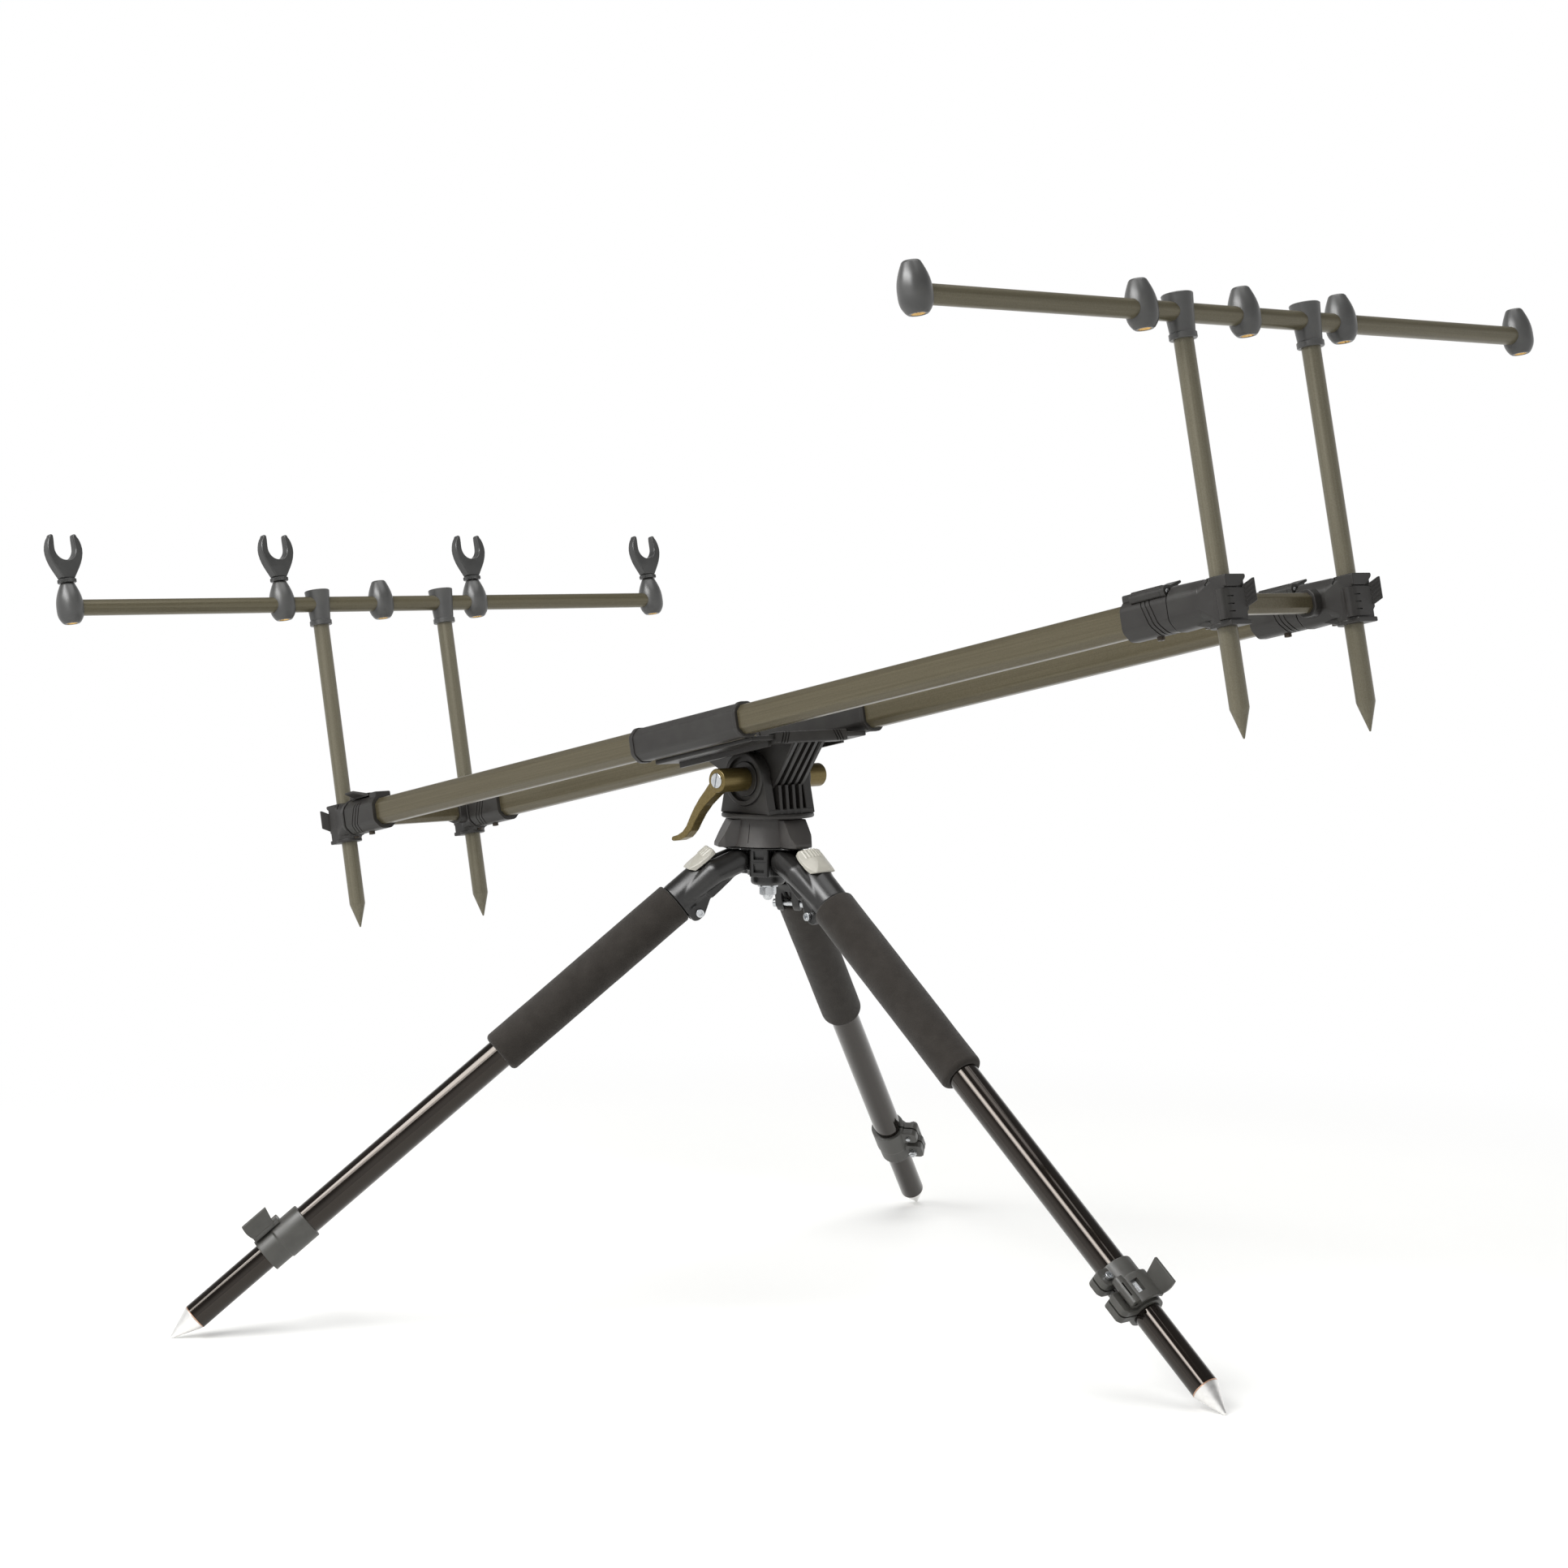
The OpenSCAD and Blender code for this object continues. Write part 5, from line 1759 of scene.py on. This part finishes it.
    def inserts(self) -> Stock:
        """Brass bushes with a thread of fine pitch.

        Returns:
            The bushes.
        """
        low, high = self.station_span[0] + 0.2, self.station_span[1] - 0.2
        pitch, r = 1.27, self.thread_r
        thread = [(r + 0.9, high), (r + 0.1, high - 0.8)]
        z = high - 0.8
        while z > low + 2 * pitch:
            thread += [(r + 0.45, z - pitch / 2), (r, z - pitch)]
            z -= pitch
        bush = Stock.turned([*thread, (r + 0.9, low), (self.insert_r, low), (self.insert_r, high)],
                            closed=True, steps=48)
        copies = [bush.copy().shift(y=y) for y in self.stations]
        bush.scrap()
        return copies[0].join(*copies[1:])

    def rest(self) -> Stock:
        """Rod rest: an open fork on a knurled lock ring.

        Returns:
            The rest.
        """
        base = self.station_span[1] + 0.4
        right = [*self.flank, *arc(self.tip_r, 10, 190, 12, self.tip), *self.claw]
        throat = arc(self.throat_r, 0, -180, 40, (0, self.throat_rise))
        left = [(-a, b) for a, b in reversed(right)]
        t = self.fork_t / 2
        fork = Stock.prism([*right, *throat, *left], -t - 1, t + 1, Axis.X)
        fork.trim(Stock.prism([(-t, -1), (t, -1), (t, 12), (3.5, 46), (-3.5, 46), (-t, 12)], -30, 30, Axis.Y))
        fork.ease(1.6, 4, 40)
        stud = Stock.turned(bar_profile(self.stud_r, -16, 2, 0.4), steps=48)
        fork.weld(stud).shift(z=base + self.ring_h + 0.1)
        # Points of the knurl lie by turns on its crests and in its grooves
        circles = [arc(radius, 0, 360, 72) for radius in (9.3, 8.75)]
        teeth = [circles[i % 2][i] for i in range(72)]
        low, high = -1, self.ring_h + 1
        ring = Stock.prism(teeth, low, high).trim(Stock.turned([
            (0, 0), (8.5, 0), (9.4, 0.7), (9.4, self.ring_h - 0.7), (8.5, self.ring_h), (0, self.ring_h),
        ], steps=72))
        return fork.join(ring.cut(Stock.rod(self.stud_r + CLEAR, low, high)).shift(z=base))

    def build(self, pod: Pod) -> None:
        """Fit the sticks, bars and rests.

        Args:
            pod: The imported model.
        """
        masters = bar, fittings, inserts, rest = self.bar(), self.fittings(), self.inserts(), self.rest()
        for end in End:
            where = pod.beam() @ Matrix.Translation((end.reach, 0, self.rise[end]))
            for work, place, label, finish, node in (
                (self.sticks(end), pod.beam(), "stick_pair", STICK_TUBE_PAINTED_LIT, "sticks"),
                (bar.copy(), where, "long_bar", BAR_TUBE, "buzz_bar"),
                (fittings.copy(), where, "stations", STATION_NYLON_PAINTED_HIGHLIGHT, "bar_fittings"),
                (inserts.copy(), where, "brass_bushes", BRASS, "inserts"),
            ):
                pod.fit(work, f"{end.label}_{label}", place, finish, f"{end.label}_goal_post",
                        [f"{end.label}_{node}"])
            if end is End.REAR:
                for number, index in enumerate(self.rests, 1):
                    pod.fit(rest.copy().shift(y=self.stations[index]), f"rod_fork_{number}", where, FORK_NYLON,
                            f"rest_{number}", [f"rod_rest_{number}"])
        for master in masters:
            master.scrap()


@dataclass
class Studio:
    """Camera, lamps, floor and backdrop."""

    eye: Triple = (2.3366, -2.1713, 0.7094)
    gaze: Triple = (-0.72764, 0.68258, -0.06798)
    lens: float = 79.13
    heart: Triple = (0.0, 0.0, 0.45)

    def camera(self) -> None:
        """Camera at the photograph's viewpoint."""
        made = bpy.data.objects.new("camera", bpy.data.cameras.new("camera"))
        made.data.lens, made.data.sensor_width = self.lens, 36.0
        made.data.clip_end = 100.0
        made.location = self.eye
        made.rotation_euler = Vector(self.gaze).to_track_quat("-Z", "Y").to_euler()
        bpy.context.scene.collection.objects.link(made)
        bpy.context.scene.camera = made

    def softbox(self, name: str, place: Triple, size: Pair, power: float, sheen_only: bool = False) -> None:
        """Rectangular lamp that faces the object.

        Args:
            name: Name of the lamp.
            place: Its place in metres.
            size: Its width and height in metres.
            power: Its power in watts.
            sheen_only: Whether it shows in reflections alone and lights no matt surface.
        """
        lamp = bpy.data.lights.new(name, "AREA")
        lamp.shape, (lamp.size, lamp.size_y), lamp.energy = "RECTANGLE", size, power
        made = bpy.data.objects.new(name, lamp)
        made.location = place
        made.rotation_euler = (Vector(self.heart) - Vector(place)).to_track_quat("-Z", "Y").to_euler()
        made.visible_camera, made.visible_diffuse = False, not sheen_only
        bpy.context.scene.collection.objects.link(made)

    def floor(self) -> None:
        """Wide pale floor that keeps the shadow near the feet and fades to the white backdrop."""
        Stock.clear_bench()
        bpy.ops.mesh.primitive_circle_add(vertices=96, radius=30, fill_type="NGON")
        made = bpy.context.object
        made.name = "studio_floor"
        paint = bpy.data.materials.new("matt_white_studio_paint")
        paint.use_nodes = True
        tree = paint.node_tree
        tree.nodes.remove(tree.nodes["Principled BSDF"])
        place = add_node(tree, "ShaderNodeTexCoord")
        reach = add_node(tree, "ShaderNodeVectorMath", {0: place.outputs["Object"]}, operation="LENGTH")
        fade = add_node(tree, "ShaderNodeMapRange", {
            "Value": reach.outputs["Value"], "From Min": 0.75, "From Max": 1.7,
        }, interpolation_type="SMOOTHSTEP")
        seen = self.seen(tree)
        matt = add_node(tree, "ShaderNodeBsdfDiffuse", {"Color": srgb("#f0f0ee")})
        lift = add_node(tree, "ShaderNodeEmission", {"Strength": 0.2})
        near = add_node(tree, "ShaderNodeAddShader", {0: matt.outputs[0], 1: lift.outputs[0]})
        glow = add_node(tree, "ShaderNodeEmission", {"Strength": 1.0})
        bright = add_node(tree, "ShaderNodeMixShader", {
            "Fac": fade.outputs["Result"], 1: near.outputs[0], 2: glow.outputs[0],
        })
        both = add_node(tree, "ShaderNodeMixShader", {"Fac": seen, 1: matt.outputs[0], 2: bright.outputs[0]})
        tree.links.new(both.outputs[0], tree.nodes["Material Output"].inputs["Surface"])
        made.data.materials.append(paint)

    @staticmethod
    def seen(tree: bpy.types.NodeTree) -> bpy.types.NodeSocket:
        """One for rays from the camera, a mirror or glass, and nought for the rays that light the object.

        Args:
            tree: Tree that gets the nodes.

        Returns:
            The output with that value.
        """
        path = add_node(tree, "ShaderNodeLightPath")
        first = add_node(tree, "ShaderNodeMath", {
            0: path.outputs["Is Camera Ray"], 1: path.outputs["Is Glossy Ray"],
        }, operation="MAXIMUM")
        second = add_node(tree, "ShaderNodeMath", {
            0: first.outputs["Value"], 1: path.outputs["Is Transmission Ray"],
        }, operation="MAXIMUM")
        return second.outputs["Value"]

    def world(self) -> None:
        """Even light all round, with a white backdrop that darkens towards the ceiling."""
        sky = bpy.data.worlds.new("studio")
        bpy.context.scene.world = sky
        sky.use_nodes = True
        tree = sky.node_tree
        even = tree.nodes["Background"]
        even.inputs["Color"].default_value, even.inputs["Strength"].default_value = srgb("#ffffff"), 0.45
        place = add_node(tree, "ShaderNodeTexCoord")
        parts = add_node(tree, "ShaderNodeSeparateXYZ", {0: place.outputs["Generated"]})
        fall = add_node(tree, "ShaderNodeMapRange", {
            "Value": parts.outputs["Z"], "From Min": 0.16, "From Max": 0.55, "To Min": 1.0, "To Max": 0.22,
        }, interpolation_type="SMOOTHSTEP")
        backdrop = add_node(tree, "ShaderNodeBackground", {
            "Strength": fall.outputs["Result"], "Color": srgb("#ffffff"),
        })
        both = add_node(tree, "ShaderNodeMixShader", {
            "Fac": self.seen(tree), 1: even.outputs[0], 2: backdrop.outputs[0],
        })
        tree.links.new(both.outputs[0], tree.nodes["World Output"].inputs["Surface"])

    def build(self) -> None:
        """Set up the studio."""
        bpy.context.scene.view_settings.view_transform = "Standard"
        self.camera()
        self.softbox("key_softbox", (0.0, -2.23, 2.47), (2.5, 1.2), 68.0)
        self.softbox("streak_strip", (0.0, -2.2, 2.44), (2.5, 0.6), 38.0, sheen_only=True)
        self.softbox("overhead_softbox", (0.2, 0.1, 3.0), (2.0, 2.0), 30.0)
        self.floor()
        self.world()


def main() -> None:
    """Build the studio and every sub-assembly, and report each piece."""
    logging.basicConfig(level=logging.INFO, format="%(message)s")
    Studio().build()
    pod = Pod({joint["name"]: joint for joint in frame["joints"]})
    for assembly in (TripodLeg(), Hub(), TiltHead(), RailSet(), GoalPost()):
        assembly.build(pod)
    LOG.info("%d pieces", len(pod.pieces))


if __name__ == "__main__":
    main()
